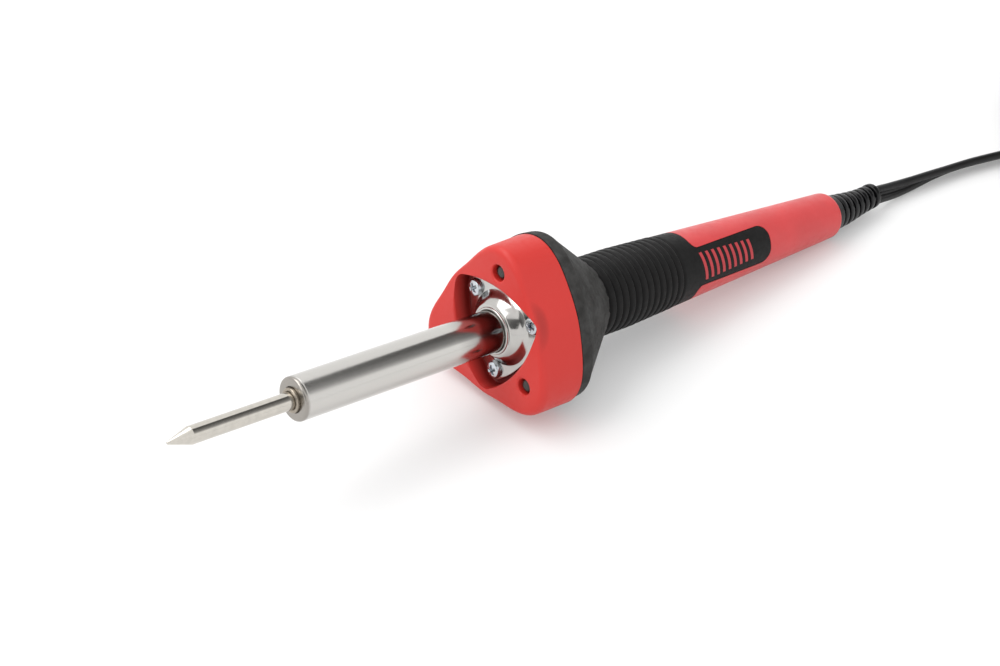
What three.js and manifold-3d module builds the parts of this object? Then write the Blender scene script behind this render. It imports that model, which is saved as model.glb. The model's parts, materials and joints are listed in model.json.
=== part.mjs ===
// Pencil-style electric soldering iron with a three-lobed lighted nose, resting on a flat surface.
//
// The iron is built along its own axis: X runs from the tip's point towards the cord, Z is up and the
// top lobe of the nose points along +Z. "Station" means the distance along that axis from the point of
// the tip. The finished iron is then tilted so that the guard and the tail of the handle touch the
// surface, and the origin is put under the middle of the iron. The cord is laid out in that final frame.
// Units are millimetres.
import * as THREE from "three";
import { mergeVertices } from "three/addons/utils/BufferGeometryUtils.js";
import Module from "manifold-3d";

const wasm = await Module();
wasm.setup();

// ---------------------------------------------------------------------------------------------------
// Driving dimensions
// ---------------------------------------------------------------------------------------------------
const GAP = 0.3; // clearance left between pieces that touch
const THIRD = (2 * Math.PI) / 3; // the nose, bracket and lamps repeat three times round the axis

// Hot end
const TIP_RADIUS = 2.2;
const TIP_POINT_RADIUS = 0.35;
const TIP_CONE = 6;
const SHANK_RADIUS = 1.8;
const SHANK_LENGTH = 18.5;
const BARREL_FRONT = 34;
const BARREL_REAR = 105.2;
const BARREL_RADIUS = 5.5;
const BARREL_WALL = 0.5;
const MOUTH_RADIUS = 3.25;
const COLLAR_RADIUS = 2.9;
const HEATER_FRONT = 44;
const HEATER_REAR = 86;
const HEATER_TURNS = 9;
const LEAD_SPREAD = 1.9;

// Nose, bracket and lamps
const NOSE_FRONT = 95.2;
const NOSE_WALL = 2.2;
const LOBE_REACH = 24.2;
const CORE_REACH = 12;
// Mean reach, lobe swing and lobe sharpening of the three-lobed outline at the front rim and the guard.
const FRONT_LOBES = [20.4, 3.15, 0.75];
const GUARD_LOBES = [21.6, 2.1, 0.35];
const GUARD_FRONT = 108.15;
const POCKET_FLOOR = 100.7;
const POCKET_MID = 12.6;
const POCKET_CORNER = 17;
const BRACKET_FRONT = 99.4;
const BRACKET_THICKNESS = 1;
const SCREW_CIRCLE = 12.6;
const SCREW_HEAD_RADIUS = 2.35;
const SCREW_HEAD_HEIGHT = 1.6;
const SCREW_RADIUS = 1.1;
const LAMP_CIRCLE = 16.9;
const LAMP_RADIUS = 1.5;
const LAMP_HOLE = 2.1;
const BOARD_FRONT = 104.3;
const BOARD_THICKNESS = 1.2;

// Guard, grip and handle
const BAND_REAR = 112;
const GRIP_FRONT = 127.3;
const GRIP_REAR = 163.85;
const GRIP_RADIUS = 10.9;
const TAPER_START = 140;
const TAPER_SLOPE = 0.0447;
const SKIN = 1.4; // thickness of the soft skin over the handle
const RIB_COUNT = 12;
const RIB_PITCH = 2.42;
const FIRST_RIB = 129.2;
const RIB_HEIGHT = 0.45;
const RIBS_END = FIRST_RIB + RIB_COUNT * RIB_PITCH - 0.3;
const TONGUE_END = 195.2;
const TONGUE_HALF_WIDTH = 5.2;
const TONGUE_CORNER = 3.4;
const TONGUE_FILLET = 1.8;
const TONGUE_DIRECTION = Math.PI / 6; // above horizontal, towards -Y
const HANDLE_REAR = 229.7;
const TAIL_CONTACT = 227;
const BORE_RADIUS = 6;

// Strain relief and wiring
const BOOT_FRONT = 217.3;
const BOOT_REAR = 256;
const BOOT_COLLAR = 5.6;
const BOOT_NECK = 4.95; // the groove that the rear wall of the handle holds
const BOOT_FIRST_RIB = 233.5;
const BOOT_TAIL = 3.3;
const BOOT_RIBS = 7;
const CONNECTOR_FRONT = 128;
const CONNECTOR_REAR = 140;
const CONNECTOR_OFFSET = 2.9;

// Cord: a flat twin lead
const CORD_WIDTH = 5.6;
const CORD_THICKNESS = 2.8;
const COIL_CENTRE = new THREE.Vector2(234.5, -18);
const COIL_MEAN_RADIUS = 27.2;
const COIL_SWING = 3.6;
const COIL_LIFT = 1.25;
const COIL_LAYERS = 6;
const LAYER_HEIGHT = 3;
const TIE_THICKNESS = 0.9;
const TIE_WIDTH = 5;
const PLUG_BODY = { length: 30, width: 22, height: 13 };
const PLUG_BLADE = { length: 17, width: 6.35, thickness: 1.5, spacing: 12.7 };
const PLUG_REAR = new THREE.Vector3(233.9, -37.6, 25.65);

// The lead's route from the strain relief to the coil, and from the coil to the plug.
const LEAD_ROUTE = [
  [127.4, 0, 3.83],
  [132.7, 0, 3.28],
  [138.7, -0.1, 2.66],
  [145.7, -0.5, 2.1],
  [153.7, -1.1, 2],
  [161.7, -1.7, 2.3],
  [169.7, -2.8, 2.6],
  [177.7, -4.6, 2.65],
  [184, -6.1, 2.65],
  [190.3, -6.9, 2.65],
  [196.6, -6.1, 2.65],
  [199.6, -5.2, 2.65],
];
const TAIL_ROUTE = [
  [258.1, 1.8, 20.65],
  [262.3, -5.4, 21.2],
  [263.7, -13.6, 21.9],
  [262.3, -21.8, 22.7],
  [258.1, -29, 23.5],
  [251.7, -34.4, 24.4],
  [245.9, -36.8, 25.1],
  [239.7, -37.6, 25.55],
  [234.2, -37.6, 25.65],
];

// ---------------------------------------------------------------------------------------------------
// Materials
// ---------------------------------------------------------------------------------------------------
function material(colour, roughness, metalness = 0) {
  return new THREE.MeshStandardMaterial({ color: colour, roughness, metalness });
}

const MATERIALS = {
  ironPlate: material(0xc9c6bf, 0.3, 1),
  brushedSteel: material(0xc4c1ba, 0.35, 1),
  brightSteel: material(0xd8d6d2, 0.12, 1),
  nichrome: material(0x77736d, 0.5, 1),
  copper: material(0xb87a55, 0.35, 1),
  brass: material(0xc2a35a, 0.3, 1),
  mica: material(0xd8cfae, 0.6),
  ceramic: material(0xe8e4da, 0.7),
  redPlastic: material(0xd9443f, 0.45),
  blackRubber: material(0x2c2b2b, 0.75),
  blackVinyl: material(0x1d1d1e, 0.4),
  lampLens: material(0x4a4036, 0.2),
  boardGreen: material(0x2c5a3c, 0.5),
  whiteSleeve: material(0xe9e6df, 0.8),
  resistorTan: material(0xc9a878, 0.5),
};

// ---------------------------------------------------------------------------------------------------
// Geometry helpers
// ---------------------------------------------------------------------------------------------------

// Keeps positions only, shares the vertices, drops collapsed triangles and turns all faces outwards.
function closed(geometry) {
  geometry.deleteAttribute("normal");
  geometry.deleteAttribute("uv");
  geometry.clearGroups();
  const merged = mergeVertices(geometry, 1e-4);
  const position = merged.getAttribute("position");
  const corners = [0, 1, 2].map(() => new THREE.Vector3());
  const kept = [];
  let volume = 0;
  for (let i = 0; i < merged.index.count; i += 3) {
    const ids = [0, 1, 2].map((k) => merged.index.getX(i + k));
    if (new Set(ids).size < 3) continue;
    kept.push(ids);
    ids.forEach((id, k) => corners[k].fromBufferAttribute(position, id));
    volume += corners[0].dot(corners[1].cross(corners[2]));
  }
  if (volume < 0) kept.forEach((ids) => ids.reverse());
  merged.setIndex(kept.flat());
  return merged;
}

function toSolid(geometry) {
  const mesh = closed(geometry);
  return new wasm.Manifold(
    new wasm.Mesh({
      numProp: 3,
      vertProperties: new Float32Array(mesh.getAttribute("position").array),
      triVerts: new Uint32Array(mesh.index.array),
    }),
  );
}

function toGeometry(solid) {
  const mesh = solid.getMesh();
  const geometry = new THREE.BufferGeometry();
  geometry.setAttribute("position", new THREE.BufferAttribute(mesh.vertProperties, 3));
  geometry.setIndex(new THREE.BufferAttribute(mesh.triVerts, 1));
  return geometry;
}

function join(...geometries) {
  return toGeometry(geometries.map(toSolid).reduce((whole, part) => whole.add(part)));
}

function cut(body, ...tools) {
  return toGeometry(tools.map(toSolid).reduce((whole, tool) => whole.subtract(tool), toSolid(body)));
}

function common(first, second) {
  return toGeometry(toSolid(first).intersect(toSolid(second)));
}

// Turns a profile of [station, radius] points round the X axis. A hollow profile closes on itself.
function revolve(profile, { hollow = false, segments = 32 } = {}) {
  const points = profile.map(([station, radius]) => new THREE.Vector2(radius, station));
  if (hollow) points.push(points[0].clone());
  return new THREE.LatheGeometry(points, segments).rotateZ(-Math.PI / 2);
}

function ring(start, end, inner, outer, segments = 32) {
  const profile = [[start, inner], [start, outer], [end, outer], [end, inner]];
  return revolve(profile, { hollow: true, segments });
}

function rod(start, end, radius, segments = 12) {
  return revolve([[start, 0], [start, radius], [end, radius], [end, 0]], { segments });
}

// Extrudes an outline drawn in the Y-Z plane along X.
function prism(shape, start, end) {
  const toAxis = new THREE.Matrix4().makeBasis(
    new THREE.Vector3(0, 1, 0),
    new THREE.Vector3(0, 0, 1),
    new THREE.Vector3(1, 0, 0),
  );
  const options = { depth: end - start, bevelEnabled: false, curveSegments: 5 };
  return new THREE.ExtrudeGeometry(shape, options).applyMatrix4(toAxis).translate(start, 0, 0);
}

// Moves a piece that lies on the axis out to a circle round it; the angle is measured from +Z.
function onCircle(geometry, radius, angle) {
  return geometry.translate(0, 0, radius).rotateX(angle);
}

// A soft tube with a round or flat section along smooth points.
function tube(points, halfWidth, halfThickness, steps, sides = 8) {
  const section = new THREE.Shape();
  for (let i = 0; i < sides; i += 1) {
    const angle = (2 * Math.PI * (i + 0.5)) / sides;
    const corner = [halfWidth * Math.cos(angle), halfThickness * Math.sin(angle)];
    if (i === 0) section.moveTo(...corner);
    else section.lineTo(...corner);
  }
  section.closePath();
  const path = new THREE.CatmullRomCurve3(points.map((point) => new THREE.Vector3(...point)));
  return new THREE.ExtrudeGeometry(section, { steps, extrudePath: path, curveSegments: 1 });
}

// Distance from the axis to the three-lobed outline at a station, in a direction measured from a lobe.
function lobeOutline(angle, station) {
  const share = THREE.MathUtils.clamp((station - NOSE_FRONT) / (GUARD_FRONT - NOSE_FRONT), 0, 1);
  const [mean, swing, sharpening] = FRONT_LOBES.map((value, i) =>
    THREE.MathUtils.lerp(value, GUARD_LOBES[i], share),
  );
  return mean + swing * Math.cos(3 * angle) + sharpening * Math.cos(6 * angle);
}

// Presses a turned solid into three lobes: fully at the outer reach, and not at all inside the core.
function lobed(geometry) {
  const position = geometry.getAttribute("position");
  for (let i = 0; i < position.count; i += 1) {
    const y = position.getY(i);
    const z = position.getZ(i);
    const share = (Math.hypot(y, z) - CORE_REACH) / (LOBE_REACH - CORE_REACH);
    const weight = THREE.MathUtils.clamp(share, 0, 1.2);
    const outline = lobeOutline(Math.atan2(y, z), position.getX(i));
    const squeeze = 1 + weight * (outline / LOBE_REACH - 1);
    position.setY(i, y * squeeze);
    position.setZ(i, z * squeeze);
  }
  return geometry;
}

// A triangle of three bowed sides and three round corners, its corners halfway between the lobes.
function threeCornered(middle, reach, cornerRadius) {
  const cornerCentre = reach - cornerRadius;
  const inset = middle - cornerRadius;
  const sideOffset = (inset ** 2 - cornerCentre ** 2) / (cornerCentre - 2 * inset);
  const sideRadius = middle + sideOffset;
  const shape = new THREE.Shape();
  for (let i = 0; i < 3; i += 1) {
    const corner = Math.PI / 6 + i * THIRD;
    const side = corner + THIRD / 2;
    const x = cornerCentre * Math.cos(corner) + sideOffset * Math.cos(side);
    const y = cornerCentre * Math.sin(corner) + sideOffset * Math.sin(side);
    const spread = Math.atan2(y, x) - corner;
    const half = Math.atan2(Math.sin(spread), Math.cos(spread));
    const [cx, cy] = [cornerCentre * Math.cos(corner), cornerCentre * Math.sin(corner)];
    shape.absarc(cx, cy, cornerRadius, corner - half, corner + half, false);
    const [sx, sy] = [-sideOffset * Math.cos(side), -sideOffset * Math.sin(side)];
    shape.absarc(sx, sy, sideRadius, corner + half, corner + THIRD - half, false);
  }
  return shape;
}

function handleRadius(station) {
  return GRIP_RADIUS - TAPER_SLOPE * Math.max(0, station - TAPER_START);
}

// ---------------------------------------------------------------------------------------------------
// Hot end
// ---------------------------------------------------------------------------------------------------
const SHOULDER = BARREL_FRONT - 0.7;
const COLLAR_FRONT = BARREL_FRONT - 0.4;

function tip() {
  return revolve([
    [0, 0],
    [0.15, TIP_POINT_RADIUS],
    [TIP_CONE, TIP_RADIUS],
    [SHOULDER, TIP_RADIUS],
    [SHOULDER, SHANK_RADIUS],
    [SHOULDER + SHANK_LENGTH - 0.5, SHANK_RADIUS],
    [SHOULDER + SHANK_LENGTH, SHANK_RADIUS - 0.5],
    [SHOULDER + SHANK_LENGTH, 0],
  ], { segments: 20 });
}

function heaterCore() {
  const bore = SHANK_RADIUS + GAP;
  const profile = [
    [COLLAR_FRONT, bore],
    [COLLAR_FRONT, COLLAR_RADIUS - 0.2],
    [COLLAR_FRONT + 0.2, COLLAR_RADIUS],
    [COLLAR_FRONT + 3, COLLAR_RADIUS],
    [COLLAR_FRONT + 3, 2.55],
    [HEATER_REAR + 4, 2.55],
    [HEATER_REAR + 4, bore],
  ];
  return revolve(profile, { hollow: true, segments: 20 });
}

function heaterWinding() {
  const pitch = (HEATER_REAR - HEATER_FRONT) / HEATER_TURNS;
  const profile = [[HEATER_FRONT, 3.45]];
  for (let i = 0; i < HEATER_TURNS; i += 1) {
    profile.push([HEATER_FRONT + i * pitch, 3.6], [HEATER_FRONT + (i + 0.5) * pitch, 3.9]);
  }
  profile.push([HEATER_REAR, 3.6], [HEATER_REAR, 3.45]);
  return revolve(profile, { hollow: true, segments: 14 });
}

function barrel() {
  const inner = BARREL_RADIUS - BARREL_WALL;
  const profile = [
    [BARREL_FRONT, MOUTH_RADIUS],
    [BARREL_FRONT, BARREL_RADIUS - 0.6],
    [BARREL_FRONT + 0.15, BARREL_RADIUS - 0.2],
    [BARREL_FRONT + 0.5, BARREL_RADIUS],
    [BARREL_REAR, BARREL_RADIUS],
    [BARREL_REAR, inner],
    [BARREL_FRONT + 0.8, inner],
    [BARREL_FRONT + 0.8, MOUTH_RADIUS],
  ];
  return revolve(profile, { hollow: true, segments: 28 });
}

function ceramicBushing() {
  const start = BARREL_REAR - 11;
  const end = BARREL_REAR - 2;
  const holes = [-1, 1].map((side) => rod(start - 1, end + 1, 1.1).translate(0, side * LEAD_SPREAD, 0));
  return cut(rod(start, end, BARREL_RADIUS - BARREL_WALL - GAP, 20), ...holes);
}

// ---------------------------------------------------------------------------------------------------
// Bracket, nose and lamps
// ---------------------------------------------------------------------------------------------------
function bracket() {
  const rear = BRACKET_FRONT + BRACKET_THICKNESS;
  const plate = prism(threeCornered(10.2, 15.6, 3), BRACKET_FRONT, rear);
  const dome = [
    [rear, 9.9],
    [BRACKET_FRONT, 9.9],
    [BRACKET_FRONT - 0.7, 9.2],
    [BRACKET_FRONT - 1.8, 8.3],
    [BRACKET_FRONT - 2.8, 7],
    [BRACKET_FRONT - 3.4, 6.5],
    [BRACKET_FRONT - 3.7, 6.2],
    [BRACKET_FRONT - 3.7, BARREL_RADIUS + GAP],
    [BRACKET_FRONT - 2.6, BARREL_RADIUS + GAP + 0.1],
    [BRACKET_FRONT - 1.4, 7.3],
    [BRACKET_FRONT - 0.2, 8.4],
    [rear, 8.6],
  ];
  const holes = screwAngles().map((angle) =>
    onCircle(rod(BRACKET_FRONT - 1, rear + 1, SCREW_RADIUS + GAP), SCREW_CIRCLE, angle),
  );
  const bore = rod(BRACKET_FRONT - 6, rear + 1, 8.6, 28);
  return join(cut(plate, bore, ...holes), revolve(dome, { hollow: true, segments: 28 }));
}

function screwAngles() {
  return [0, 1, 2].map((i) => THIRD / 2 + i * THIRD);
}

function bracketScrew(angle) {
  const underside = BRACKET_FRONT - GAP;
  const top = underside - SCREW_HEAD_HEIGHT;
  const body = revolve(
    [
      [top, 0],
      [top + 0.1, SCREW_HEAD_RADIUS * 0.6],
      [top + 0.6, SCREW_HEAD_RADIUS],
      [underside, SCREW_HEAD_RADIUS],
      [underside, SCREW_RADIUS],
      [underside + 11, SCREW_RADIUS],
      [underside + 12, 0.4],
      [underside + 12, 0],
    ],
    { segments: 20 },
  );
  const slots = [0, 1].map((turn) =>
    new THREE.BoxGeometry(1.8, 0.55, 2.6).translate(top, 0, 0).rotateX((turn * Math.PI) / 2),
  );
  return onCircle(cut(body, ...slots), SCREW_CIRCLE, angle);
}

function nose() {
  const rear = GUARD_FRONT - GAP;
  const shell = revolve(
    [
      [NOSE_FRONT, 0],
      [NOSE_FRONT, LOBE_REACH - 1.3],
      [NOSE_FRONT + 0.3, LOBE_REACH - 0.5],
      [NOSE_FRONT + 1.2, LOBE_REACH],
      [rear, LOBE_REACH],
      [rear, LOBE_REACH - NOSE_WALL],
      [NOSE_FRONT + NOSE_WALL, 21],
      [NOSE_FRONT + NOSE_WALL, 0],
    ],
    { segments: 48 },
  );
  const cup = prism(threeCornered(POCKET_MID + 1.5, POCKET_CORNER + 0.8, 5), NOSE_FRONT + 1, POCKET_FLOOR + 2.2);
  const wells = lampAngles().map((angle) =>
    onCircle(rod(NOSE_FRONT + 1, NOSE_FRONT + 5, LAMP_HOLE + 1), LAMP_CIRCLE, angle),
  );
  const lampHoles = lampAngles().map((angle) =>
    onCircle(rod(NOSE_FRONT - 1, NOSE_FRONT + 7, LAMP_HOLE), LAMP_CIRCLE, angle),
  );
  const screwHoles = screwAngles().map((angle) =>
    onCircle(rod(POCKET_FLOOR - 1, POCKET_FLOOR + 4, SCREW_RADIUS + GAP), SCREW_CIRCLE, angle),
  );
  const pocket = prism(threeCornered(POCKET_MID, POCKET_CORNER, 3.6), NOSE_FRONT - 1, POCKET_FLOOR);
  const bore = rod(POCKET_FLOOR - 1, POCKET_FLOOR + 4, BARREL_RADIUS + GAP, 32);
  return cut(join(lobed(shell), cup, ...wells), pocket, bore, ...screwHoles, ...lampHoles);
}

function lampAngles() {
  return [0, 1, 2].map((i) => i * THIRD);
}

function lamp(angle) {
  const lensFront = NOSE_FRONT + 2;
  const flange = lensFront + 4.8;
  const lens = revolve(
    [
      [lensFront, 0],
      [lensFront + 0.15, 0.65],
      [lensFront + 0.6, 1.2],
      [lensFront + LAMP_RADIUS, LAMP_RADIUS],
      [flange, LAMP_RADIUS],
      [flange, LAMP_RADIUS + 0.35],
      [flange + 0.8, LAMP_RADIUS + 0.35],
      [flange + 0.8, 0],
    ],
    { segments: 16 },
  );
  const legEnd = BOARD_FRONT - GAP;
  const legs = [-1, 1].map((side) =>
    new THREE.BoxGeometry(legEnd - flange, 0.45, 0.45).translate((legEnd + flange) / 2, side * 1.1, 0),
  );
  return onCircle(join(lens, ...legs), LAMP_CIRCLE, angle);
}

function lampBoard() {
  const board = lobed(ring(BOARD_FRONT, BOARD_FRONT + BOARD_THICKNESS, 7.4, 19.8, 36));
  const notches = screwAngles().map((angle) =>
    onCircle(rod(BOARD_FRONT - 1, BOARD_FRONT + 3, SCREW_RADIUS + 2 * GAP), SCREW_CIRCLE, angle),
  );
  return cut(board, ...notches);
}

// A small component with a waisted body and a straight wire at each end, lying across the board.
function boardComponent(bodyLength, bodyRadius, angle) {
  const half = bodyLength / 2;
  const component = revolve(
    [
      [-half - 2.2, 0],
      [-half - 2.2, 0.3],
      [-half, 0.3],
      [-half, bodyRadius],
      [-half + 1.2, bodyRadius],
      [-half + 1.5, bodyRadius - 0.15],
      [half - 1.5, bodyRadius - 0.15],
      [half - 1.2, bodyRadius],
      [half, bodyRadius],
      [half, 0.3],
      [half + 2.2, 0.3],
      [half + 2.2, 0],
    ],
    { segments: 12 },
  );
  const station = BOARD_FRONT + BOARD_THICKNESS + GAP + bodyRadius;
  return onCircle(component.rotateZ(Math.PI / 2).translate(station, 0, 0), 13.2, angle);
}

// ---------------------------------------------------------------------------------------------------
// Guard, grip and handle
// ---------------------------------------------------------------------------------------------------
const FLANGE = { front: 108.6, rear: 111.6, reach: 16.2, bore: 7.6 };

function guard() {
  const profile = [
    [GUARD_FRONT, LOBE_REACH - 0.3],
    [GUARD_FRONT + 0.4, LOBE_REACH],
    [BAND_REAR - 0.8, LOBE_REACH - 0.6],
    [BAND_REAR, LOBE_REACH - 1.2],
    [GRIP_FRONT - 1, CORE_REACH - 0.3],
    [GRIP_FRONT - GAP, CORE_REACH - 0.7],
    [GRIP_FRONT - GAP, 9.6],
    [FLANGE.rear + GAP, 9.6],
    [FLANGE.rear + GAP, FLANGE.reach + GAP],
    [GUARD_FRONT, FLANGE.reach + GAP],
  ];
  return lobed(revolve(profile, { hollow: true, segments: 42 }));
}

// The rounded tongue that carries the soft skin back over the handle, as a prism standing on the axis.
function tonguePrism(growth) {
  const start = GRIP_REAR - 4;
  const base = GRIP_REAR + growth;
  const end = TONGUE_END + growth;
  const half = TONGUE_HALF_WIDTH + growth;
  const corner = TONGUE_CORNER + growth;
  const fillet = TONGUE_FILLET - growth;
  const shape = new THREE.Shape();
  shape.moveTo(start, -half - fillet);
  shape.lineTo(base, -half - fillet);
  shape.absarc(base + fillet, -half - fillet, fillet, Math.PI, Math.PI / 2, true);
  shape.absarc(end - corner, -half + corner, corner, -Math.PI / 2, 0, false);
  shape.absarc(end - corner, half - corner, corner, 0, Math.PI / 2, false);
  shape.absarc(base + fillet, half + fillet, fillet, -Math.PI / 2, -Math.PI, true);
  shape.lineTo(start, half + fillet);
  shape.closePath();
  const outward = new THREE.Vector3(0, -Math.cos(TONGUE_DIRECTION), Math.sin(TONGUE_DIRECTION));
  const along = new THREE.Vector3(1, 0, 0);
  const across = new THREE.Vector3().crossVectors(outward, along);
  const options = { depth: 2 * GRIP_RADIUS, bevelEnabled: false, curveSegments: 6 };
  const placed = new THREE.Matrix4().makeBasis(along, across, outward);
  return new THREE.ExtrudeGeometry(shape, options).applyMatrix4(placed);
}

function grip() {
  const profile = [[GRIP_FRONT, GRIP_RADIUS - RIB_HEIGHT]];
  for (let i = 0; i < RIB_COUNT; i += 1) {
    const crest = FIRST_RIB + i * RIB_PITCH;
    const outer = handleRadius(crest) + 0.1;
    profile.push([crest, outer], [crest + RIB_PITCH / 2, outer - RIB_HEIGHT]);
  }
  profile.push([RIBS_END, handleRadius(RIBS_END)]);
  profile.push([GRIP_REAR, handleRadius(GRIP_REAR)]);
  profile.push([GRIP_REAR, handleRadius(GRIP_REAR) - SKIN]);
  profile.push([TAPER_START, GRIP_RADIUS - SKIN], [GRIP_FRONT, GRIP_RADIUS - SKIN]);
  const sleeve = revolve(profile, { hollow: true, segments: 28 });
  const [start, end] = [GRIP_REAR - 2, TONGUE_END + 2];
  const skin = [
    [start, handleRadius(start) - SKIN],
    [start, handleRadius(start)],
    [end, handleRadius(end)],
    [end, handleRadius(end) - SKIN],
  ];
  const tongue = common(revolve(skin, { hollow: true, segments: 56 }), tonguePrism(0));
  return join(sleeve, tongue);
}

function handle() {
  const under = (station) => handleRadius(station) - SKIN - GAP;
  const step = GRIP_REAR + GAP;
  const seatRear = BOOT_FRONT + 4.9; // the rear wall starts just behind the boot's inner collar
  const profile = [
    [FLANGE.front, FLANGE.reach],
    [FLANGE.rear, FLANGE.reach],
    [FLANGE.rear, under(FLANGE.rear)],
    [TAPER_START, under(TAPER_START)],
    [step, under(step)],
    [step, handleRadius(step)],
    [HANDLE_REAR - 3, handleRadius(HANDLE_REAR - 3)],
    [HANDLE_REAR - 1.2, handleRadius(HANDLE_REAR) - 0.15],
    [HANDLE_REAR - 0.3, handleRadius(HANDLE_REAR) - 0.35],
    [HANDLE_REAR, handleRadius(HANDLE_REAR) - 0.8],
    [HANDLE_REAR, BOOT_NECK + GAP],
    [seatRear, BOOT_NECK + GAP],
    [seatRear, BOOT_COLLAR + GAP],
    [BOOT_FRONT - 2.3, BOOT_COLLAR + GAP],
    [BOOT_FRONT - 5.3, BORE_RADIUS - 0.8],
    [TAPER_START + 10, BORE_RADIUS],
    [FLANGE.rear + 2.4, BORE_RADIUS],
    [FLANGE.rear + 0.4, FLANGE.bore],
    [FLANGE.front, FLANGE.bore],
  ];
  const body = lobed(revolve(profile, { hollow: true, segments: 36 }));
  const [start, end] = [GRIP_REAR - 1, TONGUE_END + 4];
  const bed = [
    [start, under(start)],
    [start, GRIP_RADIUS + 2],
    [end, GRIP_RADIUS + 2],
    [end, under(end)],
  ];
  const recess = common(revolve(bed, { hollow: true, segments: 36 }), tonguePrism(GAP));
  const screwHoles = screwAngles().map((angle) =>
    onCircle(rod(FLANGE.front - 1, FLANGE.rear + 1, SCREW_RADIUS + GAP), SCREW_CIRCLE, angle),
  );
  return cut(body, recess, ...screwHoles);
}

function strainRelief() {
  const pitch = (BOOT_REAR - BOOT_FIRST_RIB) / BOOT_RIBS;
  const neckFront = BOOT_FRONT + 4.4;
  const neckRear = HANDLE_REAR + GAP;
  const profile = [
    [BOOT_FRONT, 0],
    [BOOT_FRONT, BOOT_COLLAR],
    [neckFront, BOOT_COLLAR],
    [neckFront, BOOT_NECK],
    [neckRear, BOOT_NECK],
    [neckRear, BOOT_COLLAR],
    [BOOT_FIRST_RIB - 0.5, BOOT_COLLAR - 0.2],
  ];
  for (let i = 0; i < BOOT_RIBS; i += 1) {
    const front = BOOT_FIRST_RIB + i * pitch;
    const crest = THREE.MathUtils.lerp(BOOT_COLLAR - 0.3, BOOT_TAIL, (i + 0.5) / BOOT_RIBS);
    profile.push([front + 0.5, crest - 0.7], [front + pitch - 0.8, crest]);
  }
  profile.push([BOOT_REAR, BOOT_TAIL - 0.5], [BOOT_REAR, 0]);
  return revolve(profile, { segments: 18 });
}

// ---------------------------------------------------------------------------------------------------
// Wiring inside the handle; side is -1 or 1
// ---------------------------------------------------------------------------------------------------
function heaterLead(side) {
  const spread = side * LEAD_SPREAD;
  const joint = side * CONNECTOR_OFFSET;
  const points = [
    [HEATER_REAR + 5, spread, 0],
    [100, spread, 0],
    [110, spread, 0],
    [120, side * 2.5, -0.7],
    [CONNECTOR_FRONT - GAP, joint, -1.1],
  ];
  return tube(points, 0.75, 0.75, 10);
}

function lampWire(side) {
  const points = [
    [BOARD_FRONT + BOARD_THICKNESS + GAP, side * 8.3, 0],
    [107.6, side * 7.6, 0.2],
    [109.2, side * 6.3, 0.4],
    [112.5, side * 4.9, 0.9],
    [120, side * 3.6, 1.4],
    [CONNECTOR_FRONT - GAP, side * CONNECTOR_OFFSET, 1.2],
  ];
  return tube(points, 0.55, 0.55, 11, 6);
}

function crimpConnector(side) {
  const middle = (CONNECTOR_FRONT + CONNECTOR_REAR) / 2;
  const profile = [
    [CONNECTOR_FRONT, 0],
    [CONNECTOR_FRONT, 2.3],
    [CONNECTOR_FRONT + 3, 2.3],
    [middle - 1.5, 1.9],
    [middle + 1.5, 1.9],
    [CONNECTOR_REAR - 3, 2.3],
    [CONNECTOR_REAR, 2.3],
    [CONNECTOR_REAR, 0],
  ];
  return revolve(profile, { segments: 16 }).translate(0, side * CONNECTOR_OFFSET, 0);
}

function cordCore(side) {
  const joint = side * CONNECTOR_OFFSET;
  const points = [
    [CONNECTOR_REAR + GAP, joint, 0],
    [152, side * 2.6, 0],
    [180, side * 1.7, 0],
    [205, side * 1.6, 0],
    [BOOT_FRONT - GAP, side * 1.6, 0],
  ];
  return tube(points, 1.3, 1.3, 9);
}

// ---------------------------------------------------------------------------------------------------
// Cord, coil and plug
// ---------------------------------------------------------------------------------------------------
function coil() {
  const inner = COIL_MEAN_RADIUS - COIL_SWING - CORD_WIDTH / 2;
  const outer = COIL_MEAN_RADIUS + COIL_SWING + CORD_WIDTH / 2;
  const top = COIL_LIFT + CORD_THICKNESS + (COIL_LAYERS - 1) * LAYER_HEIGHT;
  const profile = [[inner, COIL_LIFT], [outer, COIL_LIFT], [outer, top], [inner, top], [inner, COIL_LIFT]];
  const points = profile.map(([radius, height]) => new THREE.Vector2(radius, height));
  const turned = new THREE.LatheGeometry(points, 48).rotateX(Math.PI / 2);
  return turned.translate(COIL_CENTRE.x, COIL_CENTRE.y, 0);
}

function rectangle(target, left, bottom, right, top) {
  target.moveTo(left, bottom);
  target.lineTo(right, bottom);
  target.lineTo(right, top);
  target.lineTo(left, top);
  target.closePath();
  return target;
}

// A strap closed round one place of the coil, on the side that faces the iron.
function coilTie() {
  const inner = COIL_MEAN_RADIUS - COIL_SWING - CORD_WIDTH / 2 - GAP;
  const outer = COIL_MEAN_RADIUS + COIL_SWING + CORD_WIDTH / 2 + GAP;
  const bottom = COIL_LIFT - GAP;
  const top = COIL_LIFT + CORD_THICKNESS + (COIL_LAYERS - 1) * LAYER_HEIGHT + GAP;
  const wrap = TIE_THICKNESS;
  const shape = rectangle(new THREE.Shape(), inner - 0.6 - wrap, bottom - wrap, outer + 0.6 + wrap, top + wrap);
  shape.holes.push(rectangle(new THREE.Path(), inner - 0.6, bottom, outer + 0.6, top));
  const strap = new THREE.ExtrudeGeometry(shape, { depth: TIE_WIDTH, bevelEnabled: false });
  const upright = strap.translate(0, 0, -TIE_WIDTH / 2).rotateX(Math.PI / 2).rotateZ(Math.PI);
  return upright.translate(COIL_CENTRE.x, COIL_CENTRE.y, 0);
}

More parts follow.
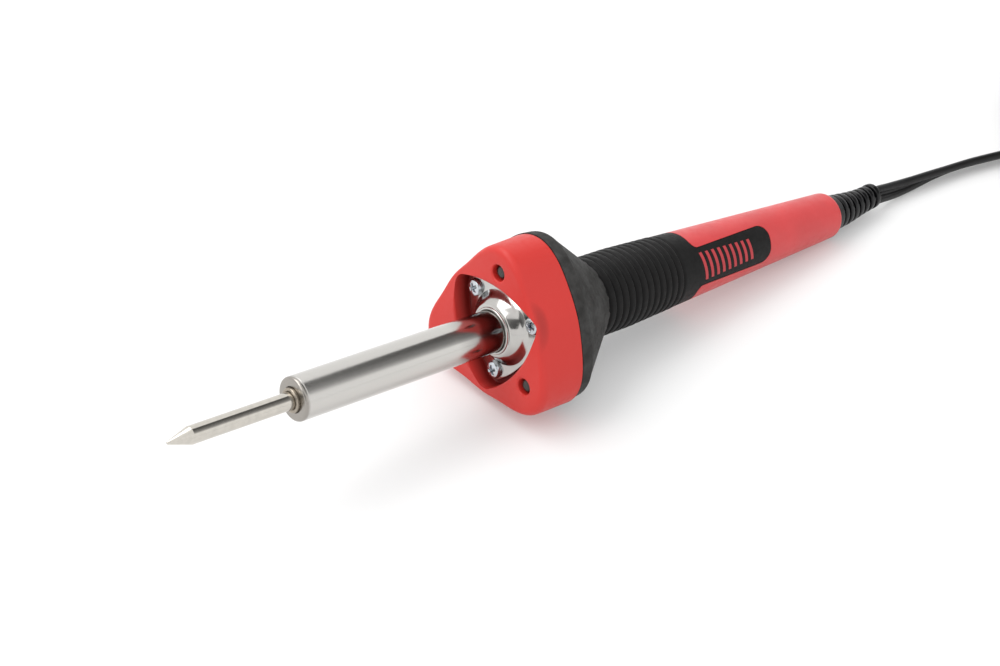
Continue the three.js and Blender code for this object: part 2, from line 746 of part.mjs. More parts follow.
function plugBody() {
  const { length, width, height } = PLUG_BODY;
  const half = width / 2;
  const neck = 4;
  const shape = new THREE.Shape();
  shape.moveTo(0, -neck);
  shape.lineTo(-5, -neck);
  shape.quadraticCurveTo(-9, -half, -14, -half);
  shape.lineTo(-length, -half);
  shape.lineTo(-length, half);
  shape.lineTo(-14, half);
  shape.quadraticCurveTo(-9, half, -5, neck);
  shape.lineTo(0, neck);
  shape.closePath();
  const body = new THREE.ExtrudeGeometry(shape, { depth: height, bevelEnabled: false, curveSegments: 8 });
  return body.translate(PLUG_REAR.x, PLUG_REAR.y, PLUG_REAR.z - height / 2);
}

function plugBlade(side) {
  const { length, width, thickness, spacing } = PLUG_BLADE;
  const blade = rectangle(new THREE.Shape(), -length, -width / 2, 0, width / 2);
  const solid = new THREE.ExtrudeGeometry(blade, { depth: thickness, bevelEnabled: false });
  const upright = solid.translate(0, 0, -thickness / 2).rotateX(Math.PI / 2);
  const x = PLUG_REAR.x - PLUG_BODY.length - GAP;
  return upright.translate(x, PLUG_REAR.y + (side * spacing) / 2, PLUG_REAR.z);
}

// ---------------------------------------------------------------------------------------------------
// Assembly
// ---------------------------------------------------------------------------------------------------
function addPart(group, name, geometry, look) {
  const mesh = new THREE.Mesh(closed(geometry), look);
  mesh.name = name;
  group.add(mesh);
}

function buildIron() {
  const iron = new THREE.Group();
  const { ironPlate, brushedSteel, brightSteel, nichrome, mica, ceramic } = MATERIALS;
  const { redPlastic, blackRubber, blackVinyl, lampLens, boardGreen, whiteSleeve } = MATERIALS;
  const insulatorOuter = BARREL_RADIUS - BARREL_WALL - GAP;
  addPart(iron, "tip", tip(), ironPlate);
  addPart(iron, "heater_core", heaterCore(), brushedSteel);
  addPart(iron, "mica_sleeve", ring(HEATER_FRONT - 3, HEATER_REAR + 3, 2.85, 3.15, 16), mica);
  addPart(iron, "heater_winding", heaterWinding(), nichrome);
  addPart(iron, "insulating_sleeve", ring(HEATER_FRONT - 4, HEATER_REAR + 4, 4.2, insulatorOuter, 16), ceramic);
  addPart(iron, "barrel", barrel(), brushedSteel);
  addPart(iron, "ceramic_bushing", ceramicBushing(), ceramic);
  addPart(iron, "barrel_bracket", bracket(), brightSteel);
  screwAngles().forEach((angle, i) => {
    addPart(iron, `bracket_screw_${i + 1}`, bracketScrew(angle), brightSteel);
  });
  addPart(iron, "nose", nose(), redPlastic);
  lampAngles().forEach((angle, i) => addPart(iron, `lamp_${i + 1}`, lamp(angle), lampLens));
  addPart(iron, "lamp_board", lampBoard(), boardGreen);
  addPart(iron, "dropping_resistor", boardComponent(6, 1.05, 0), MATERIALS.resistorTan);
  addPart(iron, "rectifier_diode", boardComponent(4.6, 1.05, THIRD), blackVinyl);
  addPart(iron, "guard", guard(), blackRubber);
  addPart(iron, "grip", grip(), blackRubber);
  addPart(iron, "handle", handle(), redPlastic);
  addPart(iron, "strain_relief", strainRelief(), blackVinyl);
  for (const [side, label] of [[-1, "right"], [1, "left"]]) {
    addPart(iron, `heater_lead_${label}`, heaterLead(side), whiteSleeve);
    addPart(iron, `lamp_wire_${label}`, lampWire(side), redPlastic);
    addPart(iron, `crimp_connector_${label}`, crimpConnector(side), MATERIALS.copper);
    addPart(iron, `cord_core_${label}`, cordCore(side), blackVinyl);
  }
  return iron;
}

function buildCord() {
  const cord = new THREE.Group();
  const { blackVinyl, brass } = MATERIALS;
  const [halfWidth, halfThickness] = [CORD_WIDTH / 2, CORD_THICKNESS / 2];
  addPart(cord, "cord_lead", tube(LEAD_ROUTE, halfWidth, halfThickness, 14, 10), blackVinyl);
  addPart(cord, "cord_coil", coil(), blackVinyl);
  addPart(cord, "coil_tie", coilTie(), blackVinyl);
  addPart(cord, "cord_tail", tube(TAIL_ROUTE, halfThickness, halfWidth, 10, 10), blackVinyl);
  addPart(cord, "plug_body", plugBody(), blackVinyl);
  addPart(cord, "plug_blade_1", plugBlade(-1), brass);
  addPart(cord, "plug_blade_2", plugBlade(1), brass);
  return cord;
}

// Lays the iron on the surface: the guard's flat and the tail of the handle both touch it.
function layDown(iron) {
  const sideReach = lobeOutline(Math.PI / 3, BAND_REAR) - 0.4;
  const drop = sideReach - handleRadius(TAIL_CONTACT);
  iron.rotation.y = Math.atan2(drop, TAIL_CONTACT - BAND_REAR);
  iron.updateMatrixWorld(true);
  const box = new THREE.Box3().setFromObject(iron, true);
  const middle = box.getCenter(new THREE.Vector3());
  iron.position.set(-middle.x, -middle.y, -box.min.z);
}

const iron = buildIron();
layDown(iron);

const solderingIron = new THREE.Group();
solderingIron.add(iron, buildCord());

export default solderingIron;
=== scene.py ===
"""Pencil soldering iron with a three-lobed lighted nose, a ribbed soft grip and a coiled flat cord.

The iron's pieces are shaped in its own frame, in millimetres: X is the station along the axis from the
point of the tip, Z points to the top lobe of the nose. TO_WORLD then lays them on the surface in metres,
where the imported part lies. The cord, its tie and the plug are shaped straight in the surface's frame.
"""
import json
import math

import bmesh
import bpy
from mathutils import Matrix, Quaternion, Vector
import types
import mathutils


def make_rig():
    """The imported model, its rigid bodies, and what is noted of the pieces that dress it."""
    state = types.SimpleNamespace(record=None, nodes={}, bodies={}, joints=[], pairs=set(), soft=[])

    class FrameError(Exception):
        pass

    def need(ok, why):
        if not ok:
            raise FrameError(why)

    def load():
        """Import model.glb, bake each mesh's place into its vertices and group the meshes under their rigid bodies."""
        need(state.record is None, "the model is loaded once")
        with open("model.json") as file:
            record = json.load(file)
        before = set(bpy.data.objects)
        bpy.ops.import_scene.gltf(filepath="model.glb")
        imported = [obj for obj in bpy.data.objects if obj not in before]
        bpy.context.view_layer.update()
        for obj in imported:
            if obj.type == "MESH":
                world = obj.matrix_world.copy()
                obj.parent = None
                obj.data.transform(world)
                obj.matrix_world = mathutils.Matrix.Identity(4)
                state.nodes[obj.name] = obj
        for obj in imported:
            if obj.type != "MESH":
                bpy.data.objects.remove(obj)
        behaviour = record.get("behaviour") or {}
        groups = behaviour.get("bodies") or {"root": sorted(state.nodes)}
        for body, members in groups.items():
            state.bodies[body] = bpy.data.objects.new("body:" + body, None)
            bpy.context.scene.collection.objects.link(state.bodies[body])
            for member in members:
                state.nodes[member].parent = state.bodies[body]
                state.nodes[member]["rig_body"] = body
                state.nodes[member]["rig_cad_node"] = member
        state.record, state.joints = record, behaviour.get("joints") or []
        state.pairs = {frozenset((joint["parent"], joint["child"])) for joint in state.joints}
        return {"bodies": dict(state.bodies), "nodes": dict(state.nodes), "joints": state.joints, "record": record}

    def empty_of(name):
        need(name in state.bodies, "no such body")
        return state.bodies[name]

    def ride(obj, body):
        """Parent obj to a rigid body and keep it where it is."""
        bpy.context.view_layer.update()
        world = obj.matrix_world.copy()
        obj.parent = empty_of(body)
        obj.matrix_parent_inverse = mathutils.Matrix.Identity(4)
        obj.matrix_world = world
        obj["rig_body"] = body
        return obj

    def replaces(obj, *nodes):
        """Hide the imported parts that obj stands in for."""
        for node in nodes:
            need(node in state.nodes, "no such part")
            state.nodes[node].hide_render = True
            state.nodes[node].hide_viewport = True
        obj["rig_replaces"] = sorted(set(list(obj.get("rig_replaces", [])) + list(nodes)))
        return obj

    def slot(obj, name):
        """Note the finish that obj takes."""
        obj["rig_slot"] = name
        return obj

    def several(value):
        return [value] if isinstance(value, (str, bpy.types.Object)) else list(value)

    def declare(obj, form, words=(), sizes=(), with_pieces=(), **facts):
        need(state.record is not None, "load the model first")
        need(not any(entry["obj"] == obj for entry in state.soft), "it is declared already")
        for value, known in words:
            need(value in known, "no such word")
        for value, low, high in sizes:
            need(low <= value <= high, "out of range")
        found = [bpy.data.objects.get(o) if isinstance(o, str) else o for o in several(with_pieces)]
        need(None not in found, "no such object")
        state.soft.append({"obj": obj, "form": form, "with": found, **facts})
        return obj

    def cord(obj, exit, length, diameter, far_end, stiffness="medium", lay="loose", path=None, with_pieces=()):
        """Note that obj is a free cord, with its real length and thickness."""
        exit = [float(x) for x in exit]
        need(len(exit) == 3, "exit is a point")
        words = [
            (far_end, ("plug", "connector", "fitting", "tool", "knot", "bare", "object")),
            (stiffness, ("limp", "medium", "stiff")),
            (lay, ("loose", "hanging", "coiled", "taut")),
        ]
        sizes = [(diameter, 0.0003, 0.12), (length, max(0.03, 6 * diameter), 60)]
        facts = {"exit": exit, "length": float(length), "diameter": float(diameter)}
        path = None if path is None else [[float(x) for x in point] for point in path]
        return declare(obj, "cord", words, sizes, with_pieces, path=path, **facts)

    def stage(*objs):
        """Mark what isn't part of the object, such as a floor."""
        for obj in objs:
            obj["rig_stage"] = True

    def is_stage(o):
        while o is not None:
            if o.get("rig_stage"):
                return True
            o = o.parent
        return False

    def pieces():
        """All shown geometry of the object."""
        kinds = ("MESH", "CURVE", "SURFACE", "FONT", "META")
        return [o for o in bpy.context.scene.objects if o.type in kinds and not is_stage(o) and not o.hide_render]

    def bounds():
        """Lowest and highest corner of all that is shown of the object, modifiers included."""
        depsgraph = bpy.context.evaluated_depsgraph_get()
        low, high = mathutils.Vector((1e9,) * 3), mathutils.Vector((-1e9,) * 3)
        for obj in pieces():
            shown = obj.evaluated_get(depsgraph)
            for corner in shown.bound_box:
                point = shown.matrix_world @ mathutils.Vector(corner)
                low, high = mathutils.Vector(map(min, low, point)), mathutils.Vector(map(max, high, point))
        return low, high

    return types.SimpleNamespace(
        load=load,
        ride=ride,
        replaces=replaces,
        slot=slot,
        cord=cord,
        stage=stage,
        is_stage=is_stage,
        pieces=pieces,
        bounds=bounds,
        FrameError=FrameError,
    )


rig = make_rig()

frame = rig.load()
cad_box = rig.bounds()

# ---------------------------------------------------------------------------------------------------
# Sizes, in millimetres
# ---------------------------------------------------------------------------------------------------
MM = 0.001
TILT = 0.107745  # radians, so that the guard and the tail of the handle touch the surface
ORIGIN = Vector((-127.408, 0, 31.411))
TO_WORLD = Matrix.Scale(MM, 4) @ Matrix.Translation(ORIGIN) @ Matrix.Rotation(TILT, 4, "Y")
FLAT_TO_WORLD = Matrix.Scale(MM, 4)
THIRD = math.tau / 3
ROUND = 144  # facets round the iron; a multiple of the three lobes

TIP_RADIUS = 2.2
TIP_CONE = 6
SHANK_RADIUS = 1.8
SHANK_LENGTH = 18.5
CORE_RADIUS = 2.55
CORE_BORE = 2.1
CORE_REAR = 90
COLLAR_RADIUS = 3.12
BARREL_FRONT = 34
BARREL_REAR = 105.2
BARREL_RADIUS = 5.5
BARREL_BORE = 5
MOUTH_RADIUS = 3.25

NOSE_FRONT = 95.2
GUARD_FRONT = 108.15
LOBE_REACH = 24.2
CORE_REACH = 12
FRONT_LOBES = (20.4, 3.15, 0.75)  # mean reach, swing of the lobes, sharpening of the lobes
GUARD_LOBES = (21.6, 2.1, 0.35)
POCKET_FLOOR = 100.7
POCKET = (12.6, 17, 3.6)  # reach at the middle of a side, reach at a corner, radius of a corner
BRACKET_FRONT = 99.4
BRACKET = (11.2, 15.6, 3)  # the same three
SCREW_CIRCLE = 12.6
SCREW_HEAD_RADIUS = 2.35
SCREW_HEAD_HEIGHT = 1.35
SCREW_RADIUS = 1.1
LAMP_CIRCLE = 16.9
LAMP_HOLE = 2.1
LAMP_RADIUS = 1.75

BAND_REAR = 112
GRIP_FRONT = 127.3
GRIP_REAR = 163.85
GRIP_RADIUS = 10.9
TAPER_START = 140
TAPER_SLOPE = 0.0447
SKIN = 1.4
RIB_COUNT = 12
RIB_PITCH = 2.42
FIRST_RIB = 129.2
TONGUE_END = 194.8
TONGUE_HALF_WIDTH = 5.2
TONGUE_CORNER = 3.4
TONGUE_FILLET = 1.8
TONGUE_ANGLE = math.radians(-64)  # from +Z towards +Y
BAR_COUNT = 9
BARS_FRONT = 166
BARS_REAR = 185.9
BAR_HALF_WIDTH = 0.55
BAR_SLANT = 0.16
HANDLE_REAR = 229.7
BOOT_FRONT = 217.3
BOOT_COLLAR = 5.6
BOOT_NECK = 4.95
BOOT_FIRST_RIB = 233.5
BOOT_RIBS = 7
BOOT_REAR = 252.9  # the ribs have closed up a little with the bend

CORD_WIDTH = 5.6
CORD_THICKNESS = 2.5
COIL_CENTRE = Vector((234.5, -18))
COIL_OUTER = 30.8
COIL_INNER = 23.6
COIL_TURNS = 7.25
COIL_LAYERS = 6
COIL_START = math.radians(130)
LAYER_HEIGHT = 3
REST_HEIGHT = 2.65  # of the cord's middle in the lowest turn, with the tie under it
CLIMB_START = 0.84  # share of a layer after which the turns climb to the next
TIE_GAP = 0.9
TIE_THICKNESS = 0.85
LEAD_ROUTE = [
    (122.5, 0, 5.2), (127.4, 0, 4.6), (132.7, 0, 3.8), (138.7, -0.1, 3.2), (145.7, -0.4, 2.95),
    (153.7, -0.8, 2.8), (161.7, -1.5, 2.7), (169.7, -2.8, 2.7), (177.7, -4.6, 2.65), (184, -6.1, 2.65),
    (190.3, -6.9, 2.65), (196.6, -6.1, 2.65), (202.5, -3.9, 2.65), (207, -0.8, 2.65), (211, 2.5, 2.65),
]
TAIL_ROUTE = [
    (262.3, -5.4, 21.2), (263.7, -13.6, 21.9), (262.3, -21.8, 22.7), (258.1, -29, 23.5),
    (251.7, -34.4, 24.4), (245.9, -36.8, 25.1), (239.7, -37.6, 25.55), (232.5, -37.6, 25.65),
]
PLUG_REAR = Vector((233.9, -37.6, 25.65))
PLUG_LENGTH = 30
BLADE_LENGTH = 17
BLADE_HALF_WIDTH = 3.17
BLADE_HALF_THICKNESS = 0.75
BLADE_SPACING = 12.7


# ---------------------------------------------------------------------------------------------------
# Camera
# ---------------------------------------------------------------------------------------------------
def make_camera():
    data = bpy.data.cameras.new("camera")
    data.lens = 64.95
    data.sensor_width = 36
    camera = bpy.data.objects.new("camera", data)
    bpy.context.scene.collection.objects.link(camera)
    camera.location = Vector((-286.43, -273.3, 282.39)) * MM
    forward = Vector((0.56139, 0.59601, -0.57413))
    roll = Quaternion((0, 0, 1), math.radians(3.49))
    camera.rotation_mode = "QUATERNION"
    camera.rotation_quaternion = forward.to_track_quat("-Z", "Y") @ roll
    bpy.context.scene.camera = camera


make_camera()


# ---------------------------------------------------------------------------------------------------
# Shape helpers
# ---------------------------------------------------------------------------------------------------
def rounded(corners, steps=4):
    """Turns (x, y, setback) corners into an open outline, with each set-back corner made round."""
    points = []
    for i, (x, y, setback) in enumerate(corners):
        corner = Vector((x, y))
        if setback == 0:
            points.append(corner)
            continue
        before = (Vector(corners[i - 1][:2]) - corner).normalized() * setback
        after = (Vector(corners[(i + 1) % len(corners)][:2]) - corner).normalized() * setback
        for k in range(steps + 1):
            t = k / steps
            points.append(corner + before * (1 - t) ** 2 + after * t**2)
    return points


def smooth_step(low, high, value):
    t = min(1, max(0, (value - low) / (high - low)))
    return t * t * (3 - 2 * t)


def lerp(start, end, share):
    return start + (end - start) * share


def add_object(name, vertices, faces):
    mesh = bpy.data.meshes.new(name)
    mesh.from_pydata([tuple(v) for v in vertices], [], faces)
    cleaned = bmesh.new()
    cleaned.from_mesh(mesh)
    bmesh.ops.remove_doubles(cleaned, verts=cleaned.verts, dist=1e-5)
    bmesh.ops.recalc_face_normals(cleaned, faces=cleaned.faces)
    cleaned.to_mesh(mesh)
    cleaned.free()
    piece = bpy.data.objects.new(name, mesh)
    bpy.context.scene.collection.objects.link(piece)
    return piece


def skin_rings(name, rings, endless=False, capped=False):
    """Joins rings of equal length into a surface; endless joins the last ring to the first."""
    count = len(rings[0])
    vertices = [point for ring in rings for point in ring]
    faces = []
    last = len(rings) if endless else len(rings) - 1
    for row in range(last):
        here = row * count
        there = ((row + 1) % len(rings)) * count
        for k in range(count):
            following = (k + 1) % count
            faces.append((here + k, here + following, there + following, there + k))
    if capped:
        faces.append(tuple(range(count)))
        faces.append(tuple(range(len(vertices) - count, len(vertices))))
    return add_object(name, vertices, faces)


def on_axis(station, radius, angle):
    return Vector((station, radius * math.sin(angle), radius * math.cos(angle)))


def circle(station, radius, segments=ROUND):
    return [on_axis(station, radius, math.tau * k / segments) for k in range(segments)]


def lathe(name, profile, segments=ROUND, press=None, hollow=False):
    """Turns (station, radius) points round the axis; press can move each point afterwards."""
    rings = []
    for station, radius in profile:
        ring = circle(station, radius, segments)
        rings.append([press(point) for point in ring] if press else ring)
    return skin_rings(name, rings, endless=hollow)


def extrude(name, outline, start, end, basis):
    """Extrudes (x, y) points from start to end along the third column of a basis."""
    rings = [[basis @ Vector((x, y, depth)) for x, y in outline] for depth in (start, end)]
    return skin_rings(name, rings, capped=True)


def off_axis(turn, reach):
    """Moves a piece made on the axis out to a reach, at a turn from +Z towards +Y."""
    return Matrix.Rotation(-turn, 4, "X") @ Matrix.Translation((0, 0, reach))


def combine(body, tool, operation):
    """Applies a boolean and removes the tool."""
    modifier = body.modifiers.new("combine", "BOOLEAN")
    modifier.operation = operation
    modifier.solver = "EXACT"
    modifier.object = tool
    graph = bpy.context.evaluated_depsgraph_get()
    result = bpy.data.meshes.new_from_object(body.evaluated_get(graph))
    body.modifiers.clear()
    body.data = result
    bpy.data.objects.remove(tool)
    return body


def cut(body, *tools):
    for tool in tools:
        combine(body, tool, "DIFFERENCE")
    return body


def finish_piece(piece, material, slot, *nodes, matrix=TO_WORLD, body="iron", crease=38, bevel=0):
    """Places a finished piece in the world, shades it, and lets it stand for its CAD nodes."""
    mesh = piece.data
    mesh.transform(matrix)
    mesh.materials.clear()
    mesh.materials.append(material)
    mesh.shade_smooth()
    mesh.set_sharp_from_angle(angle=math.radians(crease))
    if bevel:
        edge = piece.modifiers.new("soft_edges", "BEVEL")
        edge.width = bevel * MM
        edge.segments = 2
        edge.limit_method = "ANGLE"
        edge.angle_limit = math.radians(50)
    weighted = piece.modifiers.new("even_shading", "WEIGHTED_NORMAL")
    weighted.keep_sharp = True
    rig.ride(piece, body)
    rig.slot(piece, slot)
    if nodes:
        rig.replaces(piece, *nodes)
    return piece


# ---------------------------------------------------------------------------------------------------
# Materials
# ---------------------------------------------------------------------------------------------------
class Shader:
    """One principled material, with its texture coordinates in the iron's own frame, in millimetres."""

    def __init__(self, name, colour, roughness, metallic=0.0):
        self.material = bpy.data.materials.new(name)
        self.material.use_nodes = True
        self.nodes = self.material.node_tree.nodes
        self.links = self.material.node_tree.links
        self.surface = self.nodes["Principled BSDF"]
        self.surface.inputs["Base Color"].default_value = (*colour, 1)
        self.surface.inputs["Roughness"].default_value = roughness
        self.surface.inputs["Metallic"].default_value = metallic
        coordinates = self.nodes.new("ShaderNodeTexCoord")
        turned = self.nodes.new("ShaderNodeMapping")
        turned.inputs["Scale"].default_value = (1 / MM,) * 3
        turned.inputs["Rotation"].default_value = (0, -TILT, 0)
        turned.inputs["Location"].default_value = -(Matrix.Rotation(-TILT, 3, "Y") @ ORIGIN)
        self.links.new(coordinates.outputs["Object"], turned.inputs["Vector"])
        self.place = turned.outputs["Vector"]

    def set(self, **values):
        for name, value in values.items():
            self.surface.inputs[name.replace("_", " ")].default_value = value
        return self

    def noise(self, scale, detail=3, stretch=(1, 1, 1), roughness=0.55):
        """Noise with `scale` features per millimetre, stretched along the axes."""
        mapping = self.nodes.new("ShaderNodeMapping")
        mapping.inputs["Scale"].default_value = [scale * s for s in stretch]
        self.links.new(self.place, mapping.inputs["Vector"])
        noise = self.nodes.new("ShaderNodeTexNoise")
        noise.inputs["Scale"].default_value = 1
        noise.inputs["Detail"].default_value = detail
        noise.inputs["Roughness"].default_value = roughness
        self.links.new(mapping.outputs["Vector"], noise.inputs["Vector"])
        return noise.outputs["Fac"]

    def spread(self, value, low, high, start=0.3, end=0.7):
        """Maps a 0..1 value from start..end onto low..high."""
        spread = self.nodes.new("ShaderNodeMapRange")
        spread.inputs["From Min"].default_value = start
        spread.inputs["From Max"].default_value = end
        spread.inputs["To Min"].default_value = low
        spread.inputs["To Max"].default_value = high
        self.links.new(value, spread.inputs["Value"])
        return spread.outputs["Result"]

    def split(self, vector):
        parts = self.nodes.new("ShaderNodeSeparateXYZ")
        self.links.new(vector, parts.inputs["Vector"])
        return parts.outputs

    def station(self):
        """Distance along the axis from the point of the tip."""
        return self.split(self.place)["X"]

    def reach(self):
        """Distance from the axis."""
        parts = self.split(self.place)
        across = self.nodes.new("ShaderNodeCombineXYZ")
        self.links.new(parts["Y"], across.inputs["Y"])
        self.links.new(parts["Z"], across.inputs["Z"])
        length = self.nodes.new("ShaderNodeVectorMath")
        length.operation = "LENGTH"
        self.links.new(across.outputs["Vector"], length.inputs[0])
        return length.outputs["Value"]

    def product(self, first, second):
        multiply = self.nodes.new("ShaderNodeMath")
        multiply.operation = "MULTIPLY"
        self.links.new(first, multiply.inputs[0])
        self.links.new(second, multiply.inputs[1])
        return multiply.outputs["Value"]

    def colours(self, value, *stops):
        """Colours a 0..1 value with (position, colour) stops."""
        ramp = self.nodes.new("ShaderNodeValToRGB")
        elements = ramp.color_ramp.elements
        while len(elements) < len(stops):
            elements.new(0.5)
        for element, (position, colour) in zip(elements, stops):
            element.position = position
            element.color = (*colour, 1)
        self.links.new(value, ramp.inputs["Fac"])
        return ramp.outputs["Color"]

    def use(self, output, socket):
        self.links.new(output, self.surface.inputs[socket])

    def bump(self, height, distance, strength=1.0):
        """Adds a bump of `distance` millimetres, on top of any bump already there."""
        bump = self.nodes.new("ShaderNodeBump")
        bump.inputs["Strength"].default_value = strength
        bump.inputs["Distance"].default_value = distance * MM
        self.links.new(height, bump.inputs["Height"])
        before = self.surface.inputs["Normal"].links
        if before:
            self.links.new(before[0].from_socket, bump.inputs["Normal"])
        self.links.new(bump.outputs["Normal"], self.surface.inputs["Normal"])


def tinted(colour, factor):
    return tuple(min(1, channel * factor) for channel in colour)


def moulded_grain(shader):
    """The slight waviness of a moulded wall and the fine grain of its mould."""
    shader.bump(shader.noise(0.16, detail=2), 0.12, 0.5)
    shader.bump(shader.noise(5, detail=2), 0.012, 0.5)


def moulded_plastic(name, colour, roughness):
    """Hard plastic with a fine moulded grain, slight flow marks and an uneven polish."""
    shader = Shader(name, colour, roughness).set(Specular_IOR_Level=0.45)
    flow = shader.noise(0.09, detail=3)
    shader.use(shader.colours(flow, (0.3, tinted(colour, 0.93)), (0.7, tinted(colour, 1.06))), "Base Color")
    shader.use(shader.spread(shader.noise(0.6, detail=4), roughness - 0.05, roughness + 0.08), "Roughness")
    moulded_grain(shader)
    return shader.material


def soft_rubber(name, colour, roughness, dust, shine=0.25):
    """Matte rubber with an uneven bloom of fine dust."""
    shader = Shader(name, colour, roughness).set(Specular_IOR_Level=shine)
    bloom = shader.noise(0.22, detail=5, roughness=0.65)
    dusty = tuple(channel + dust for channel in colour)
    shader.use(shader.colours(bloom, (0.38, colour), (0.75, dusty)), "Base Color")
    shader.use(shader.spread(shader.noise(0.9, detail=4), roughness - 0.07, roughness + 0.1), "Roughness")
    shader.bump(shader.noise(3.2, detail=3), 0.025, 0.6)
    return shader.material


def drawn_metal(name, colour, low, high, grain=0.004, metallic=1.0):
    """Drawn or turned metal: long streaks along the axis and fine pitting."""
    shader = Shader(name, colour, (low + high) / 2, metallic)
    streaks = shader.noise(1.6, detail=4, stretch=(0.03, 1, 1))
    clouds = shader.noise(0.25, detail=4)
    shader.use(shader.colours(clouds, (0.3, tinted(colour, 0.94)), (0.7, tinted(colour, 1.04))), "Base Color")
    shader.use(shader.spread(streaks, low, high), "Roughness")
    shader.bump(shader.noise(2.5, detail=3, stretch=(0.12, 1, 1)), grain, 0.7)
    return shader.material


def grained(name, colour, other, roughness, size=0.6, depth=0.02, metallic=0.0, stretch=(1, 1, 1)):
    """A plain two-tone grained material for the pieces inside the iron."""
    shader = Shader(name, colour, roughness, metallic)
    grain = shader.noise(size, detail=5, stretch=stretch)
    shader.use(shader.colours(grain, (0.35, colour), (0.65, other)), "Base Color")
    shader.use(shader.spread(grain, roughness - 0.06, roughness + 0.08), "Roughness")
    shader.bump(shader.noise(size * 4, detail=2, stretch=stretch), depth, 0.6)
    return shader.material


def heated_steel():
    """The drawn steel of the barrel, dulled by heat at its mouth and shaded in the pocket."""
    colour = (0.57, 0.555, 0.53)
    scorched, shaded = (0.33, 0.31, 0.285), tinted(colour, 0.52)
    shader = Shader("barrel_steel", colour, 0.2, 1.0)
    station = shader.station()
    heat = shader.spread(station, 0, 1, BARREL_FRONT, NOSE_FRONT)
    tone = shader.colours(heat, (0, scorched), (0.01, scorched), (0.02, colour), (0.76, colour),
                          (0.9, shaded))
    shader.use(tone, "Base Color")
    shader.use(shader.spread(station, 0.26, 0.13, 40, 92), "Roughness")
    shader.bump(shader.noise(1.1, detail=4, stretch=(0.4, 1, 1)), 0.006, 0.6)
    return shader.material


def cap_plastic():
    """The red of the nose, darkened with painted shade in its pocket and lamp holes."""
    shader = Shader("nose_red", RED, 0.42).set(Specular_IOR_Level=0.38)
    pocket_reach = POCKET[1] + 0.3
    pocket_shade_mask = shader.spread(shader.reach(), 1, 0, pocket_reach, pocket_reach + 0.6)
    depth = shader.spread(shader.station(), 0, 1, NOSE_FRONT + 1, NOSE_FRONT + 4)
    # painted shade: the red darkens deeper into the pocket and inside the lamp holes
    tone = shader.colours(shader.product(pocket_shade_mask, depth), (0, RED), (1, tinted(RED, 0.35)))
    shader.use(tone, "Base Color")
    shader.use(shader.spread(shader.noise(0.6, detail=4), 0.37, 0.5), "Roughness")
    moulded_grain(shader)
    return shader.material


def plated_tip():
    """Bright plating on the shaft and a duller, tinned cone."""
    colour = (0.58, 0.55, 0.50)
    shader = Shader("tip_plating", colour, 0.16, 1.0)
    cone = shader.spread(shader.station(), 1, 0, TIP_CONE - 0.2, TIP_CONE + 0.2)
    mottle = shader.noise(0.7, detail=3)
    tone = shader.colours(mottle, (0.35, tinted(colour, 0.94)), (0.65, tinted(colour, 1.03)))
    shader.use(tone, "Base Color")
    shader.use(shader.spread(cone, 0.11, 0.26, 0, 1), "Roughness")
    shader.bump(shader.noise(1.6, detail=2, stretch=(0.3, 1, 1)), 0.003, 0.5)
    return shader.material


RED = (0.52, 0.024, 0.018)
HANDLE_RED = (0.53, 0.033, 0.035)
MATERIALS = {
    "tip": plated_tip(),
    "barrel": heated_steel(),
    "bright": drawn_metal("bright_steel", (0.50, 0.487, 0.468), 0.1, 0.17, grain=0.001),
    "screw": drawn_metal("screw_zinc", (0.55, 0.585, 0.62), 0.16, 0.28, grain=0.003),
    "core": drawn_metal("core_steel", (0.33, 0.29, 0.24), 0.2, 0.3),
    "nose": cap_plastic(),
    "handle": moulded_plastic("handle_red", HANDLE_RED, 0.34),
    "guard": soft_rubber("guard_rubber", (0.024, 0.0232, 0.022), 0.66, 0.034, shine=0.15),
    "grip": soft_rubber("grip_rubber", (0.0045, 0.0042, 0.0042), 0.5, 0.004, shine=0.15),
    "boot": soft_rubber("boot_vinyl", (0.0025, 0.0025, 0.003), 0.16, 0.0015, shine=0.3),
    "cord": soft_rubber("cord_vinyl", (0.0045, 0.0045, 0.005), 0.36, 0.003, shine=0.25),
    "mark": moulded_plastic("mark_red", (0.42, 0.024, 0.032), 0.5),
    "lens": moulded_plastic("lamp_lens", (0.022, 0.018, 0.015), 0.12),
    "mica": grained("mica", (0.62, 0.55, 0.38), (0.74, 0.68, 0.52), 0.4, size=0.5),
    "ceramic": grained("white_ceramic", (0.80, 0.77, 0.71), (0.87, 0.85, 0.80), 0.7, size=1.2),
    "nichrome": grained("nichrome", (0.20, 0.19, 0.18), (0.32, 0.30, 0.28), 0.45, size=1.4, metallic=1),
    "board": grained("board_green", (0.03, 0.13, 0.055), (0.05, 0.19, 0.08), 0.4, size=0.9),
    "resistor": grained("resistor_body", (0.48, 0.34, 0.17), (0.58, 0.43, 0.24), 0.35, size=1.1),
    "diode": grained("diode_body", (0.012, 0.012, 0.012), (0.03, 0.03, 0.03), 0.3, size=1.3),
    "sleeve": grained("woven_sleeve", (0.72, 0.69, 0.62), (0.85, 0.82, 0.77), 0.85, size=2.4, depth=0.08),
    "wire": grained("wire_red", (0.45, 0.02, 0.02), (0.55, 0.04, 0.03), 0.35, size=0.8),
    "crimp": grained("crimp_sleeve", (0.60, 0.57, 0.45), (0.70, 0.67, 0.55), 0.4, size=0.7),
    "brass": drawn_metal("blade_brass", (0.72, 0.52, 0.24), 0.2, 0.26, grain=0.0005),
}


